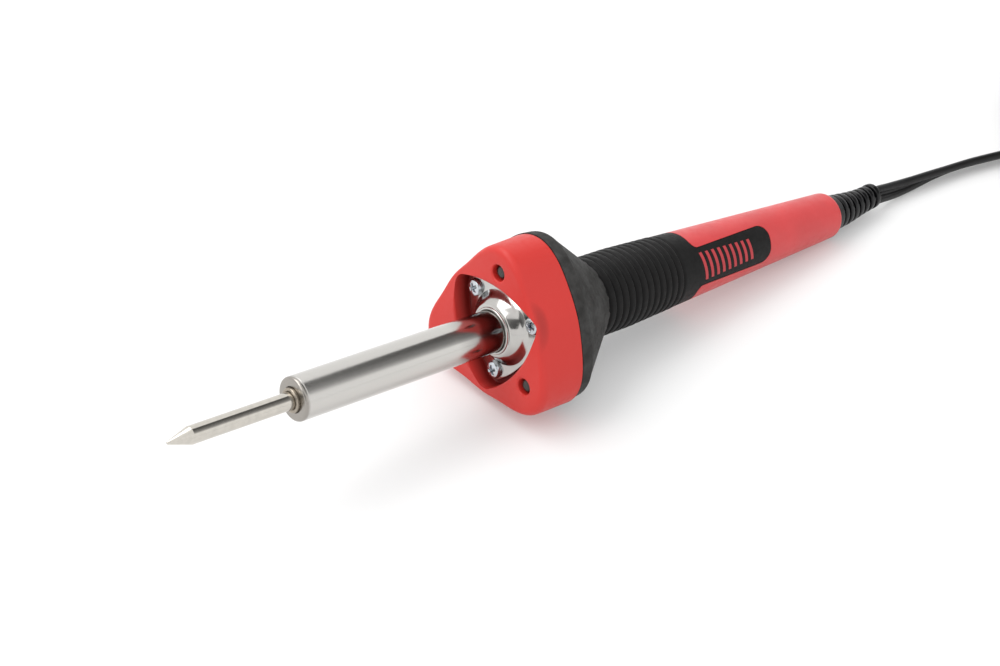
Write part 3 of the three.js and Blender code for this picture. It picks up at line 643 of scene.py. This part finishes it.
# ---------------------------------------------------------------------------------------------------
# Cord, coil, tie and plug
# ---------------------------------------------------------------------------------------------------
def smooth_curve(points, per_span=6):
    """Catmull-Rom points through a route."""
    route = [Vector(p) for p in points]
    route = [2 * route[0] - route[1], *route, 2 * route[-1] - route[-2]]
    curve = []
    for a, b, c, d in zip(route, route[1:], route[2:], route[3:]):
        for k in range(per_span):
            t = k / per_span
            squared, cubed = 2 * a - 5 * b + 4 * c - d, 3 * b - a - 3 * c + d
            curve.append(0.5 * (2 * b + (c - a) * t + squared * t**2 + cubed * t**3))
    return [*curve, route[-2]]


def coil_points(per_turn=40):
    """Flat layers that wind in and out by turns, clockwise seen from above, and climb to the plug."""
    steps = round(COIL_TURNS * per_turn)
    points = []
    for k in range(steps + 1):
        progress = COIL_LAYERS * k / steps
        layer = min(COIL_LAYERS - 1, int(progress))
        inwards = progress - layer if layer % 2 == 0 else 1 - (progress - layer)
        climb = smooth_step(CLIMB_START, 1, progress - layer)
        radius = lerp(COIL_OUTER, COIL_INNER, inwards)
        angle = COIL_START - math.tau * COIL_TURNS * k / steps
        height = REST_HEIGHT + LAYER_HEIGHT * (layer + climb)
        x = COIL_CENTRE.x + radius * math.cos(angle)
        y = COIL_CENTRE.y + radius * math.sin(angle)
        points.append(Vector((x, y, height)))
    return points


def twin_section(groove=math.radians(15), steps=10):
    """Outline of a flat twin lead: two round cores side by side with a groove between them."""
    radius = CORD_THICKNESS / 2
    outline = []
    for side in (1, -1):
        for k in range(steps + 1):
            angle = lerp(-math.pi + groove, math.pi - groove, k / steps)
            across = side * (CORD_WIDTH / 2 - radius + radius * math.cos(angle))
            outline.append((across, side * radius * math.sin(angle)))
    return outline


def twist(travelled):
    """The lead leaves the iron tilted, turns on its way to the coil, and lies flat there."""
    at_boot = 52
    early = 88 * smooth_step(-6, 44, travelled)
    late = 40 * smooth_step(60, 110, travelled)
    return -math.radians(at_boot + early + late)


def make_cord():
    """The whole cord in one piece; also gives its path and its length in metres."""
    route = smooth_curve(LEAD_ROUTE) + coil_points() + smooth_curve(TAIL_ROUTE)
    travelled = [0.0]
    for a, b in zip(route, route[1:]):
        travelled.append(travelled[-1] + (b - a).length)
    length = travelled[-1]
    section = twin_section()
    rings = []
    for i, point in enumerate(route):
        heading = (route[min(i + 1, len(route) - 1)] - route[max(i - 1, 0)]).normalized()
        across = heading.cross(Vector((0, 0, 1))).normalized()
        upwards = across.cross(heading)
        turn = twist(travelled[i])
        sideways = across * math.cos(turn) + upwards * math.sin(turn)
        raised = upwards * math.cos(turn) - across * math.sin(turn)
        rings.append([point + sideways * x + raised * y for x, y in section])
    piece = skin_rings("flat_twin_cord", rings, capped=True)
    finish_piece(piece, MATERIALS["cord"], "cord_vinyl", "cord_lead", "cord_coil", "cord_tail",
                 matrix=FLAT_TO_WORLD)
    return piece, [point * MM for point in route], length * MM


def make_tie():
    """A soft ribbed strap round all the turns, with rounded corners."""
    inner = COIL_INNER - CORD_WIDTH / 2 - TIE_GAP
    outer = COIL_OUTER + CORD_WIDTH / 2 + TIE_GAP
    bottom, top = 0.95, REST_HEIGHT + (COIL_LAYERS - 1) * LAYER_HEIGHT + CORD_THICKNESS / 2 + 0.3

    def loop(growth, setback):
        left, right, low, high = inner - growth, outer + growth, bottom - growth, top + growth
        corners = ((left, low), (right, low), (right, high), (left, high))
        return rounded([(*corner, setback) for corner in corners], 6)

    inside, outside = loop(0, 2), loop(TIE_THICKNESS, 2.4)
    # How far the strap's face is sunk towards its inside, from one edge to the other.
    sinking = ((-2.5, 0.35), (-2.1, 0), (-0.9, 0), (-0.6, 0.2), (0.6, 0.2), (0.9, 0), (2.1, 0), (2.5, 0.35))
    rings = [[Vector((*p.lerp(q, sunk), y)).xzy for p, q in zip(outside, inside)] for y, sunk in sinking]
    for y in (2.5, -2.5):
        rings.append([Vector((*p, y)).xzy for p in inside])
    piece = skin_rings("coil_strap", rings, endless=True)
    place = Matrix.Translation((*COIL_CENTRE, 0)) @ Matrix.Rotation(math.pi, 4, "Z")
    return finish_piece(piece, MATERIALS["cord"], "cord_vinyl", "coil_tie", matrix=FLAT_TO_WORLD @ place)


def make_plug():
    """A moulded plug body: a narrow neck that swells into a ribbed, rounded block."""
    # Distance from the cord's end, half the width and half the height.
    sections = [(0, 4, 3.6), (1.5, 4.4, 4), (5, 5, 4.6), (8, 7.5, 5.4), (11, 10, 6.1), (13, 10.8, 6.4)]
    for i in range(5):
        ridge = 14.2 + 2.4 * i
        sections += [(ridge, 10.9, 6.45), (ridge + 0.5, 10.3, 6)]
        sections += [(ridge + 1.3, 10.3, 6), (ridge + 1.8, 10.9, 6.45)]
    sections += [(27.5, 11, 6.5), (29.3, 11, 6.5), (29.8, 10.7, 6.2), (PLUG_LENGTH, 10.2, 5.7)]
    segments, boxiness = 48, 0.6
    rings = []
    for distance, half_width, half_height in sections:
        ring = []
        for k in range(segments):
            angle = math.tau * k / segments
            across, up = math.cos(angle), math.sin(angle)
            y = math.copysign(abs(across) ** boxiness, across) * half_width
            z = math.copysign(abs(up) ** boxiness, up) * half_height
            ring.append(PLUG_REAR + Vector((-distance, y, z)))
        rings.append(ring)
    piece = skin_rings("plug_moulding", rings, capped=True)
    return finish_piece(piece, MATERIALS["cord"], "cord_vinyl", "plug_body", matrix=FLAT_TO_WORLD)


def make_blade(side):
    """A stamped blade with chamfered end corners and a round hole near its end."""
    edge, end = BLADE_HALF_WIDTH, -BLADE_LENGTH
    outline = [(0, -edge), (end + 1.4, -edge), (end, -1.9), (end, 1.9), (end + 1.4, edge), (0, edge)]
    middle = PLUG_REAR + Vector((-PLUG_LENGTH - 0.1, side * BLADE_SPACING / 2, 0))
    basis = Matrix(((1, 0, 0), (0, 0, 1), (0, 1, 0)))
    blade = extrude(f"blade_{side}", outline, -BLADE_HALF_THICKNESS, BLADE_HALF_THICKNESS, basis)
    hole_centre, hole_radius = end + 4.5, 1.5
    angles = [math.tau * k / 24 for k in range(24)]
    hole = [(hole_centre + hole_radius * math.cos(a), hole_radius * math.sin(a)) for a in angles]
    cut(blade, extrude("hole", hole, -2, 2, basis))
    node = "plug_blade_1" if side < 0 else "plug_blade_2"
    blade.name = f"stamped_{node}"
    return finish_piece(blade, MATERIALS["brass"], "blade_brass", node,
                        matrix=FLAT_TO_WORLD @ Matrix.Translation(middle), bevel=0.15)


cord, cord_path, cord_length = make_cord()
cord_pieces = [make_tie(), make_plug(), make_blade(-1), make_blade(1)]
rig.cord(cord, exit=cord_path[0], length=cord_length, diameter=CORD_WIDTH * MM, far_end="plug",
        stiffness="medium", lay="coiled", path=cord_path, with_pieces=cord_pieces)


# ---------------------------------------------------------------------------------------------------
# Hot end
# ---------------------------------------------------------------------------------------------------
def make_tip():
    """A round rod with a short cone, and a thinner shank that sits in the heater's core."""
    shoulder = BARREL_FRONT - 0.7
    profile = rounded([
        (0, 0, 0), (0.1, 0.34, 0.08), (TIP_CONE, TIP_RADIUS, 0.12), (shoulder, TIP_RADIUS, 0.15),
        (shoulder, SHANK_RADIUS, 0), (shoulder + SHANK_LENGTH - 0.5, SHANK_RADIUS, 0.3),
        (shoulder + SHANK_LENGTH, 0, 0),
    ])
    return finish_piece(lathe("pointed_tip", profile), MATERIALS["tip"], "tip_plate", "tip",
                        body="tip", crease=25)


def make_heater_core():
    """The tube that the winding heats; its collar stands a little out of the barrel's mouth."""
    front = BARREL_FRONT - 0.85
    seat = TIP_RADIUS + 0.03
    profile = rounded([
        (front + 0.15, seat, 0.1), (front, CORE_RADIUS, 0.15), (front, COLLAR_RADIUS, 0.4),
        (front + 3, COLLAR_RADIUS, 0), (front + 3, CORE_RADIUS, 0), (CORE_REAR, CORE_RADIUS, 0),
        (CORE_REAR, CORE_BORE, 0), (front + 1.5, CORE_BORE, 0), (front + 1.2, seat, 0),
    ], steps=5)
    return finish_piece(lathe("heater_core_tube", profile, hollow=True), MATERIALS["core"], "core_steel",
                        "heater_core")


def make_barrel():
    """A drawn tube whose front edge is rolled over, with the fine line that the rolling left behind it."""
    profile = rounded([
        (BARREL_FRONT, MOUTH_RADIUS, 0.12), (BARREL_FRONT, BARREL_RADIUS, 0.8),
        (BARREL_FRONT + 1.1, BARREL_RADIUS, 0), (BARREL_FRONT + 1.2, BARREL_RADIUS - 0.07, 0),
        (BARREL_FRONT + 1.35, BARREL_RADIUS, 0), (BARREL_REAR, BARREL_RADIUS, 0),
        (BARREL_REAR, BARREL_BORE, 0), (BARREL_FRONT + 0.8, BARREL_BORE, 0),
        (BARREL_FRONT + 0.8, MOUTH_RADIUS, 0),
    ], steps=7)
    return finish_piece(lathe("barrel_tube", profile, hollow=True), MATERIALS["barrel"], "barrel_steel",
                        "barrel", crease=50)


# ---------------------------------------------------------------------------------------------------
# Nose, bracket and lamps
# ---------------------------------------------------------------------------------------------------
def cap_share(station):
    """How far back a station lies on the red cap: 0 at its front, 1 where it meets the guard."""
    return min(1, max(0, (station - NOSE_FRONT) / (GUARD_FRONT - NOSE_FRONT)))


def lobe_outline(angle, station):
    share = cap_share(station)
    mean, swing, sharpening = (lerp(a, b, share) for a, b in zip(FRONT_LOBES, GUARD_LOBES))
    return mean + swing * math.cos(3 * angle) + sharpening * math.cos(6 * angle)


def lobed(point):
    """Presses a point of a round piece into the three lobes, fully at the outside and not near the axis."""
    reach = math.hypot(point.y, point.z)
    weight = min(1.2, max(0, (reach - CORE_REACH) / (LOBE_REACH - CORE_REACH)))
    outline = lobe_outline(math.atan2(point.y, point.z), point.x)
    squeeze = 1 + weight * (outline / LOBE_REACH - 1)
    return Vector((point.x, point.y * squeeze, point.z * squeeze))


def sagged(point):
    """The cap sits a little low and towards +Y, and its face dips between the lobes."""
    reach = math.hypot(point.y, point.z)
    weight = smooth_step(CORE_REACH, 19, reach)
    share = cap_share(point.x)
    far = smooth_step(4, 18, point.y) * (1 - 0.6 * share)
    dip = 0.9 * (1 - share) * weight * (1 - math.cos(3 * math.atan2(point.y, point.z))) / 2
    sideways = 0.6 * (1 - share) + 0.9 * far
    drop = lerp(0.85, 0.4, share) + 0.6 * far
    return Vector((point.x + dip, point.y + sideways * weight, point.z - drop * weight))


def three_cornered(middle, reach, corner_radius):
    """Distance to a bowed triangle whose round corners lie between the lobes, by angle from +Z."""
    corner_centre = reach - corner_radius
    inset = middle - corner_radius
    side_offset = (inset**2 - corner_centre**2) / (corner_centre - 2 * inset)
    side_radius = middle + side_offset
    half = math.atan2(side_offset * math.sin(THIRD / 2), corner_centre + side_offset * math.cos(THIRD / 2))
    corner_share = math.atan2(corner_radius * math.sin(half), corner_centre + corner_radius * math.cos(half))

    def radius(angle):
        turn = angle % THIRD - THIRD / 2
        if abs(turn) <= corner_share:
            return corner_centre * math.cos(turn) + math.sqrt(
                corner_radius**2 - (corner_centre * math.sin(turn)) ** 2)
        turn = THIRD / 2 - abs(turn)
        return -side_offset * math.cos(turn) + math.sqrt(side_radius**2 - (side_offset * math.sin(turn)) ** 2)

    return radius


def outline_rings(radius, layers, segments=ROUND):
    """Rings of a three-cornered outline: each layer is (station, growth)."""
    angles = [math.tau * k / segments for k in range(segments)]
    return [[on_axis(station, radius(a) + growth, a) for a in angles] for station, growth in layers]


def make_nose():
    """The red cap: thick at the front, open behind, with its pocket, barrel hole and lamp holes."""
    rear = GUARD_FRONT - 0.2
    profile = rounded([
        (NOSE_FRONT, 0, 0), (NOSE_FRONT, LOBE_REACH, 2.1), (rear, LOBE_REACH, 0.15),
        (rear, LOBE_REACH - 2.4, 0), (POCKET_FLOOR + 2, LOBE_REACH - 3, 0), (POCKET_FLOOR + 2, 0, 0),
    ], steps=6)
    face = [(NOSE_FRONT, radius) for radius in range(11, 22)]
    body = lathe("nose_cap", [profile[0], *face, *profile[1:]], press=lobed)
    for vertex in body.data.vertices:
        vertex.co = sagged(vertex.co)
    opening = three_cornered(*POCKET)
    walls = [(POCKET_FLOOR, -0.7), (POCKET_FLOOR - 0.2, -0.3), (POCKET_FLOOR - 0.7, -0.12),
             (NOSE_FRONT + 0.8, 0), (NOSE_FRONT + 0.45, 0.06), (NOSE_FRONT + 0.2, 0.25),
             (NOSE_FRONT + 0.04, 0.6), (NOSE_FRONT - 0.2, 1.6)]
    cut(body, skin_rings("pocket", outline_rings(opening, walls), capped=True))
    cut(body, lathe("bore", [(90, 0), (90, BARREL_RADIUS + 0.25), (110, BARREL_RADIUS + 0.25), (110, 0)], 96))
    for i in range(3):
        hole = lathe("hole", [(NOSE_FRONT - 0.3, 0), (NOSE_FRONT - 0.3, LAMP_HOLE + 0.7),
                              (NOSE_FRONT + 0.03, LAMP_HOLE + 0.32), (NOSE_FRONT + 0.15, LAMP_HOLE + 0.14),
                              (NOSE_FRONT + 0.4, LAMP_HOLE), (110, LAMP_HOLE), (110, 0)], 48)
        hole.data.transform(off_axis(i * THIRD, LAMP_CIRCLE))
        cut(body, hole)
    return finish_piece(body, MATERIALS["nose"], "nose_red", "nose", crease=45)


def make_lamp(i):
    """A round-ended lamp that sits well inside its hole."""
    front = NOSE_FRONT + 0.9
    profile = rounded([
        (front, 0, 0), (front, LAMP_RADIUS, 0.9), (front + 5, LAMP_RADIUS, 0),
        (front + 5, LAMP_RADIUS + 0.1, 0.1), (front + 5.8, LAMP_RADIUS + 0.1, 0.1), (front + 5.8, 0, 0),
    ], steps=6)
    lamp = lathe(f"lamp_body_{i + 1}", profile, 48)
    lamp.data.transform(off_axis(i * THIRD, LAMP_CIRCLE))
    return finish_piece(lamp, MATERIALS["lens"], "lamp_lens", f"lamp_{i + 1}")


def make_bracket():
    """A stamped plate with three round corners and a domed neck, beaded where it holds the barrel."""
    rear = BRACKET_FRONT + 1
    dome = rounded([
        (BRACKET_FRONT - 2.4, 5.6, 0), (BRACKET_FRONT - 3.9, 5.6, 0.2), (BRACKET_FRONT - 3.9, 6.15, 0.25),
        (BRACKET_FRONT - 3.4, 6.3, 0.1), (BRACKET_FRONT - 3.35, 6.9, 0.4), (BRACKET_FRONT - 2.1, 8.2, 1.2),
        (BRACKET_FRONT - 0.4, 9.55, 0.9), (BRACKET_FRONT, 10.25, 0.2),
    ], steps=8)
    edge = three_cornered(*BRACKET)
    angles = [math.tau * k / ROUND for k in range(ROUND)]
    rings = [circle(station, radius) for station, radius in dome]
    for share in (0.3, 0.6, 0.85):
        rings.append([on_axis(BRACKET_FRONT, lerp(10.35, edge(a) - 0.3, share), a) for a in angles])
    rim = [(BRACKET_FRONT, -0.3), (BRACKET_FRONT + 0.08, -0.1), (BRACKET_FRONT + 0.3, 0),
           (rear - 0.2, 0), (rear, -0.2)]
    rings += outline_rings(edge, rim)
    back = [(rear, 9.2), (BRACKET_FRONT, 8.7), (BRACKET_FRONT - 2.1, 6.6), (BRACKET_FRONT - 2.3, 5.9)]
    rings += [circle(station, radius) for station, radius in back]
    piece = skin_rings("barrel_flange", rings, endless=True)
    return finish_piece(piece, MATERIALS["bright"], "bright_steel", "barrel_bracket", crease=60)


def cross_depth(y, z):
    """Depth of a cross recess at a point of the screw's head."""
    depth = 0
    for along, across in ((y, z), (z, y)):
        arm = 1 - smooth_step(0.26, 0.4, abs(across))
        depth = max(depth, arm * (1 - smooth_step(0.7, 1.4, abs(along))) * 1.5)
    return depth


def make_screw(i):
    """A pan-head screw with its cross recess, turned a little differently each time."""
    head, top = SCREW_HEAD_RADIUS, BRACKET_FRONT - SCREW_HEAD_HEIGHT
    segments, rows = 64, 26
    turn = (0.35, 1.0, 0.6)[i]
    rings = []
    for row in range(rows + 1):
        radius = head * row / rows
        ring = []
        for k in range(segments):
            angle = math.tau * k / segments
            y, z = radius * math.sin(angle + turn), radius * math.cos(angle + turn)
            crown = top + 0.35 * (radius / head) ** 2 + 0.45 * smooth_step(0.8, 1, radius / head) ** 2
            ring.append(on_axis(crown + cross_depth(y, z), radius, angle))
        rings.append(ring)
    underside = BRACKET_FRONT - 0.05
    shank = [(top + 1.1, head + 0.02), (underside, head), (underside, SCREW_RADIUS),
             (BRACKET_FRONT + 11, SCREW_RADIUS), (BRACKET_FRONT + 12, 0)]
    rings += [circle(station, radius, segments) for station, radius in shank]
    screw = skin_rings(f"pan_head_screw_{i + 1}", rings)
    screw.data.transform(off_axis(THIRD / 2 + i * THIRD, SCREW_CIRCLE))
    return finish_piece(screw, MATERIALS["screw"], "bright_steel", f"bracket_screw_{i + 1}", crease=55)


# ---------------------------------------------------------------------------------------------------
# Guard, grip, handle and strain relief
# ---------------------------------------------------------------------------------------------------
def handle_radius(station):
    return GRIP_RADIUS - TAPER_SLOPE * max(0, station - TAPER_START)


def make_guard():
    """The soft guard, with the thin uneven flash that the mould left round its narrow end."""
    profile = rounded([
        (GUARD_FRONT, 17, 0), (GUARD_FRONT, LOBE_REACH - 0.15, 0.25),
        (BAND_REAR - 0.4, LOBE_REACH - 0.5, 0.5), (BAND_REAR + 0.5, LOBE_REACH - 1.4, 0.3),
        (GRIP_FRONT - 1, 11.75, 0.3), (GRIP_FRONT - 0.4, 11.35, 0.1), (GRIP_FRONT - 0.3, 9.6, 0),
        (BAND_REAR, 9.6, 0), (BAND_REAR, 17, 0),
    ], steps=5)

    def press(point):
        pressed = lobed(point)
        ragged = smooth_step(GRIP_FRONT - 1.4, GRIP_FRONT - 0.4, point.x)
        angle = math.atan2(point.y, point.z)
        wave = math.sin(17 * angle + 1) + 0.7 * math.sin(31 * angle + 2) + 0.5 * math.sin(53 * angle)
        pressed.x += 0.16 * ragged * wave
        return pressed

    return finish_piece(lathe("soft_guard", profile, press=press, hollow=True), MATERIALS["guard"],
                        "guard_rubber", "guard")


def tongue_outline(growth):
    """The tongue's edge on the developed surface: (station, across) points from one side to the other."""
    half, end, corner = TONGUE_HALF_WIDTH + growth, TONGUE_END + growth, TONGUE_CORNER + growth
    fillet, base = TONGUE_FILLET - growth, GRIP_REAR + growth
    arcs = [
        (base + fillet, -half - fillet, fillet, 180, 90),
        (end - corner, -half + corner, corner, -90, 0),
        (end - corner, half - corner, corner, 0, 90),
        (base + fillet, half + fillet, fillet, 270, 180),
    ]
    points = []
    for x, y, radius, start, stop in arcs:
        for k in range(9):
            angle = math.radians(lerp(start, stop, k / 8))
            points.append((x + radius * math.cos(angle), y + radius * math.sin(angle)))
    return points


def tongue_basis():
    """Columns: along the axis, across the tongue, and outwards through it."""
    outward = on_axis(0, 1, TONGUE_ANGLE)
    along = Vector((1, 0, 0))
    return Matrix((along, outward.cross(along), outward)).transposed()


def rib_profile():
    """The grip's outer line: rounded ribs with narrow grooves, then smooth back to the tongue."""
    profile = [(GRIP_FRONT, GRIP_RADIUS - 0.35)]
    for i in range(RIB_COUNT):
        crest = FIRST_RIB + i * RIB_PITCH
        for k in range(-6, 7):
            phase = k / 12
            station = crest + phase * RIB_PITCH
            if station <= profile[-1][0] + 0.02:
                continue
            groove = math.exp(-(((abs(phase) - 0.5) / 0.13) ** 2))
            profile.append((station, handle_radius(station) + 0.12 - 0.6 * phase**2 - 0.42 * groove))
    last_groove = FIRST_RIB + (RIB_COUNT - 0.5) * RIB_PITCH
    for step in (0.2, 0.35, 0.55, 0.8, 1.2):
        groove = math.exp(-((step / 0.45) ** 2))
        station = last_groove + step
        profile.append((station, handle_radius(station) - 0.4 * groove))
    return [*profile, (TONGUE_END + 3, handle_radius(TONGUE_END + 3))]


def make_grip():
    """Soft skin over the handle: a long sleeve cut back behind the ribs to leave only the tongue."""
    end = TONGUE_END + 3
    inner = [(end, handle_radius(end) - SKIN), (TAPER_START, GRIP_RADIUS - SKIN),
             (GRIP_FRONT, GRIP_RADIUS - SKIN)]
    sleeve = lathe("soft_grip", rib_profile() + inner, hollow=True)
    basis = tongue_basis()
    around = [(GRIP_REAR, -20), *tongue_outline(0), (GRIP_REAR, 20), (end + 5, 20), (end + 5, -20)]
    behind = [(GRIP_REAR, -20), (GRIP_REAR, 20), (end + 5, 20), (end + 5, -20)]
    cut(sleeve, extrude("behind", behind, -20, 0.01, basis), extrude("around_tongue", around, 0, 20, basis))
    return finish_piece(sleeve, MATERIALS["grip"], "grip_rubber", "grip", bevel=0.14)


def make_handle():
    """The hollow tapered handle, with a shallow bed for the tongue and a seat for the boot's collar."""
    def under(station):
        return handle_radius(station) - SKIN - 0.1

    tail = handle_radius(HANDLE_REAR)
    profile = rounded([
        (108.6, 16.2, 0), (111.6, 16.2, 0), (111.6, under(111.6), 0), (TAPER_START, under(TAPER_START), 0),
        (GRIP_REAR + 0.12, under(GRIP_REAR), 0), (GRIP_REAR + 0.12, handle_radius(GRIP_REAR), 0.12),
        (HANDLE_REAR, tail, 1.4), (HANDLE_REAR, 5.35, 0), (222.2, 5.3, 0), (222.2, 5.9, 0), (215, 5.9, 0),
        (212, 5.2, 0), (150, 6, 0), (114, 6, 0), (112, 7.6, 0), (108.6, 7.6, 0),
    ], steps=6)
    body = lathe("tapered_handle", profile, hollow=True)
    bed = lathe("bed", [(162, under(162)), (162, 14), (200, 14), (200, under(200))], hollow=True)
    outline = tongue_outline(0.16)
    keep = [(162, outline[0][1]), *outline, (162, outline[-1][1])]
    cut(body, combine(bed, extrude("keep", keep, 1, 20, tongue_basis()), "INTERSECT"))
    return finish_piece(body, MATERIALS["handle"], "handle_red", "handle", bevel=0.12)


def boot_rise(station):
    """The strain relief has taken a slight upward set from use."""
    rise, start, reach = 1.35, 237, 15
    return rise * max(0, (station - start) / reach) ** 1.6


def make_strain_relief():
    """A boot whose ribs narrow towards the cord, joined by bridges a quarter turn apart from rib to rib."""
    pitch = (BOOT_REAR - BOOT_FIRST_RIB) / BOOT_RIBS
    corners = [(BOOT_FRONT, 0, 0), (BOOT_FRONT, BOOT_COLLAR, 0.3), (221.7, BOOT_COLLAR, 0),
               (221.7, BOOT_NECK, 0), (230, BOOT_NECK, 0), (230, 5.7, 0.3), (232.6, 5.5, 0.3)]
    for i in range(BOOT_RIBS):
        front = BOOT_FIRST_RIB + i * pitch
        middle = front + pitch / 2
        crest = lerp(5.35, 3.85, smooth_step(232, 250, middle))
        waist = crest - 1.15
        corners += [(front, waist, 0.12), (front + 0.15, crest, 0.4),
                    (front + pitch - 0.95, crest - 0.05, 0.4), (front + pitch - 0.8, waist, 0.12)]
    corners += [(BOOT_REAR - 0.3, 2.4, 0.2), (BOOT_REAR - 0.2, 0, 0)]

    def press(point):
        rib, behind = divmod(point.x - BOOT_FIRST_RIB, pitch)
        angle = math.atan2(point.y, point.z) + rib * math.pi / 2
        between_ribs = 0 <= rib < BOOT_RIBS - 1 and behind > pitch - 0.85
        swell = 1.22 if between_ribs and abs(math.sin(angle)) < 0.45 else 1
        return Vector((point.x, point.y * swell, point.z * swell + boot_rise(point.x)))

    return finish_piece(lathe("ribbed_boot", rounded(corners, 4), 72, press=press), MATERIALS["boot"],
                        "boot_vinyl", "strain_relief")


def make_bar(i):
    """One slanted bar of a plain printed row on the tongue; the bars shorten towards the cord."""
    middle = lerp(BARS_FRONT, BARS_REAR, i / (BAR_COUNT - 1))
    half_height = lerp(4.0, 3.0, i / (BAR_COUNT - 1))

    def row(share, lift):
        across = lerp(-half_height, half_height, share)
        points = []
        for offset in (-BAR_HALF_WIDTH, 0, BAR_HALF_WIDTH):
            station = middle - BAR_SLANT * across + offset
            radius = handle_radius(station)
            points.append(on_axis(station, radius + lift, TONGUE_ANGLE + across / radius))
        return points

    shares = [k / 10 for k in range(11)]
    loops = [[*row(share, 0.05), *reversed(row(share, -0.2))] for share in shares]
    return skin_rings(f"bar_{i}", loops, capped=True)


def make_bars():
    bars = [make_bar(i) for i in range(BAR_COUNT)]
    joined = bmesh.new()
    for bar in bars:
        joined.from_mesh(bar.data)
    joined.to_mesh(bars[0].data)
    joined.free()
    for bar in bars[1:]:
        bpy.data.objects.remove(bar)
    bars[0].name = "printed_bars"
    return finish_piece(bars[0], MATERIALS["mark"], "handle_red")


# ---------------------------------------------------------------------------------------------------
# Assembly
# ---------------------------------------------------------------------------------------------------
make_tip()
make_heater_core()
make_barrel()
make_nose()
make_bracket()
for number in range(3):
    make_lamp(number)
    make_screw(number)
make_guard()
make_grip()
make_handle()
make_strain_relief()
make_bars()

INSIDE = {
    "mica_sleeve": "mica", "heater_winding": "nichrome", "insulating_sleeve": "ceramic",
    "ceramic_bushing": "ceramic", "lamp_board": "board", "dropping_resistor": "resistor",
    "rectifier_diode": "diode", "heater_lead_right": "sleeve", "heater_lead_left": "sleeve",
    "lamp_wire_right": "wire", "lamp_wire_left": "wire", "crimp_connector_right": "crimp",
    "crimp_connector_left": "crimp", "cord_core_right": "cord", "cord_core_left": "cord",
}
for node, look in INSIDE.items():
    slots = frame["nodes"][node].material_slots
    slots[0].material = MATERIALS[look]


# ---------------------------------------------------------------------------------------------------
# Floor and light
# ---------------------------------------------------------------------------------------------------
def make_floor():
    """A pale floor that glows a little, which keeps the shadows light."""
    shader = Shader("studio_floor", (0.62, 0.62, 0.62), 0.6)
    shader.set(Emission_Color=(1, 1, 1, 1), Emission_Strength=0.19)
    shader.use(shader.spread(shader.noise(0.02, detail=2), 0.58, 0.66), "Roughness")
    floor = add_object("floor", [(-3, -3, 0), (3, -3, 0), (3, 3, 0), (-3, 3, 0)], [(0, 1, 2, 3)])
    floor.data.materials.append(shader.material)
    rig.stage(floor)


def aim(thing, location, target, roll=0):
    """Stands a light or card at a place, in metres, and turns its face to the target."""
    thing.location = location
    direction = Vector(target) - Vector(location)
    turned = direction.to_track_quat("-Z", "Y") @ Quaternion((0, 0, 1), math.radians(roll))
    thing.rotation_euler = turned.to_euler()


def softbox(name, location, target, size, power):
    data = bpy.data.lights.new(name, "AREA")
    data.shape = "RECTANGLE"
    data.size, data.size_y = size
    data.energy = power
    light = bpy.data.objects.new(name, data)
    bpy.context.scene.collection.objects.link(light)
    aim(light, location, target)


def dark_card(name, location, target, size, roll, brightest):
    """A studio card, dark at one end and paler at the other, that only shows in reflections."""
    half_x, half_y = size[0] / 2, size[1] / 2
    corners = [(-half_x, -half_y, 0), (half_x, -half_y, 0), (half_x, half_y, 0), (-half_x, half_y, 0)]
    card = add_object(name, corners, [(0, 1, 2, 3)])
    shader = Shader(name, (0, 0, 0), 1).set(Specular_IOR_Level=0, Emission_Strength=1)
    coordinates = shader.nodes.new("ShaderNodeTexCoord")
    across = shader.spread(shader.split(coordinates.outputs["Object"])["X"], 0, 1, half_x, -half_x)
    greys = ((0, 0.1), (0.35, 0.15), (0.72, 0.33), (1, brightest))
    tones = [(position, (grey,) * 3) for position, grey in greys]
    shader.use(shader.colours(across, *tones), "Emission Color")
    card.data.materials.append(shader.material)
    aim(card, location, target, roll)
    card.visible_camera = False
    card.visible_diffuse = False
    card.visible_shadow = False
    card.visible_transmission = False
    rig.stage(card)


def make_light():
    world = bpy.data.worlds.new("studio")
    world.use_nodes = True
    background = world.node_tree.nodes["Background"]
    background.inputs["Color"].default_value = (1, 1, 1, 1)
    background.inputs["Strength"].default_value = 1.15
    bpy.context.scene.world = world
    softbox("overhead", (-0.25, 0.45, 0.9), (0, 0, 0), (0.9, 0.6), 4.6)
    softbox("left_fill", (-0.78, 0.14, 0.68), (0, 0, 0.02), (0.42, 0.42), 1.4)
    dark_card("streak_card", (0.73, -0.35, 0.86), (-0.05, 0, 0.03), (1.3, 0.84), 25, 0.75)
    dark_card("camera_card", (-0.44, -0.23, 0.28), (-0.03, 0, 0.03), (0.36, 0.24), 0, 0.3)
    bpy.context.scene.view_settings.view_transform = "Standard"


make_floor()
make_light()

with open("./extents.json", "w") as sizes:
    json.dump({"cad": [list(corner) for corner in cad_box],
               "visual": [list(corner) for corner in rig.bounds()]}, sizes)
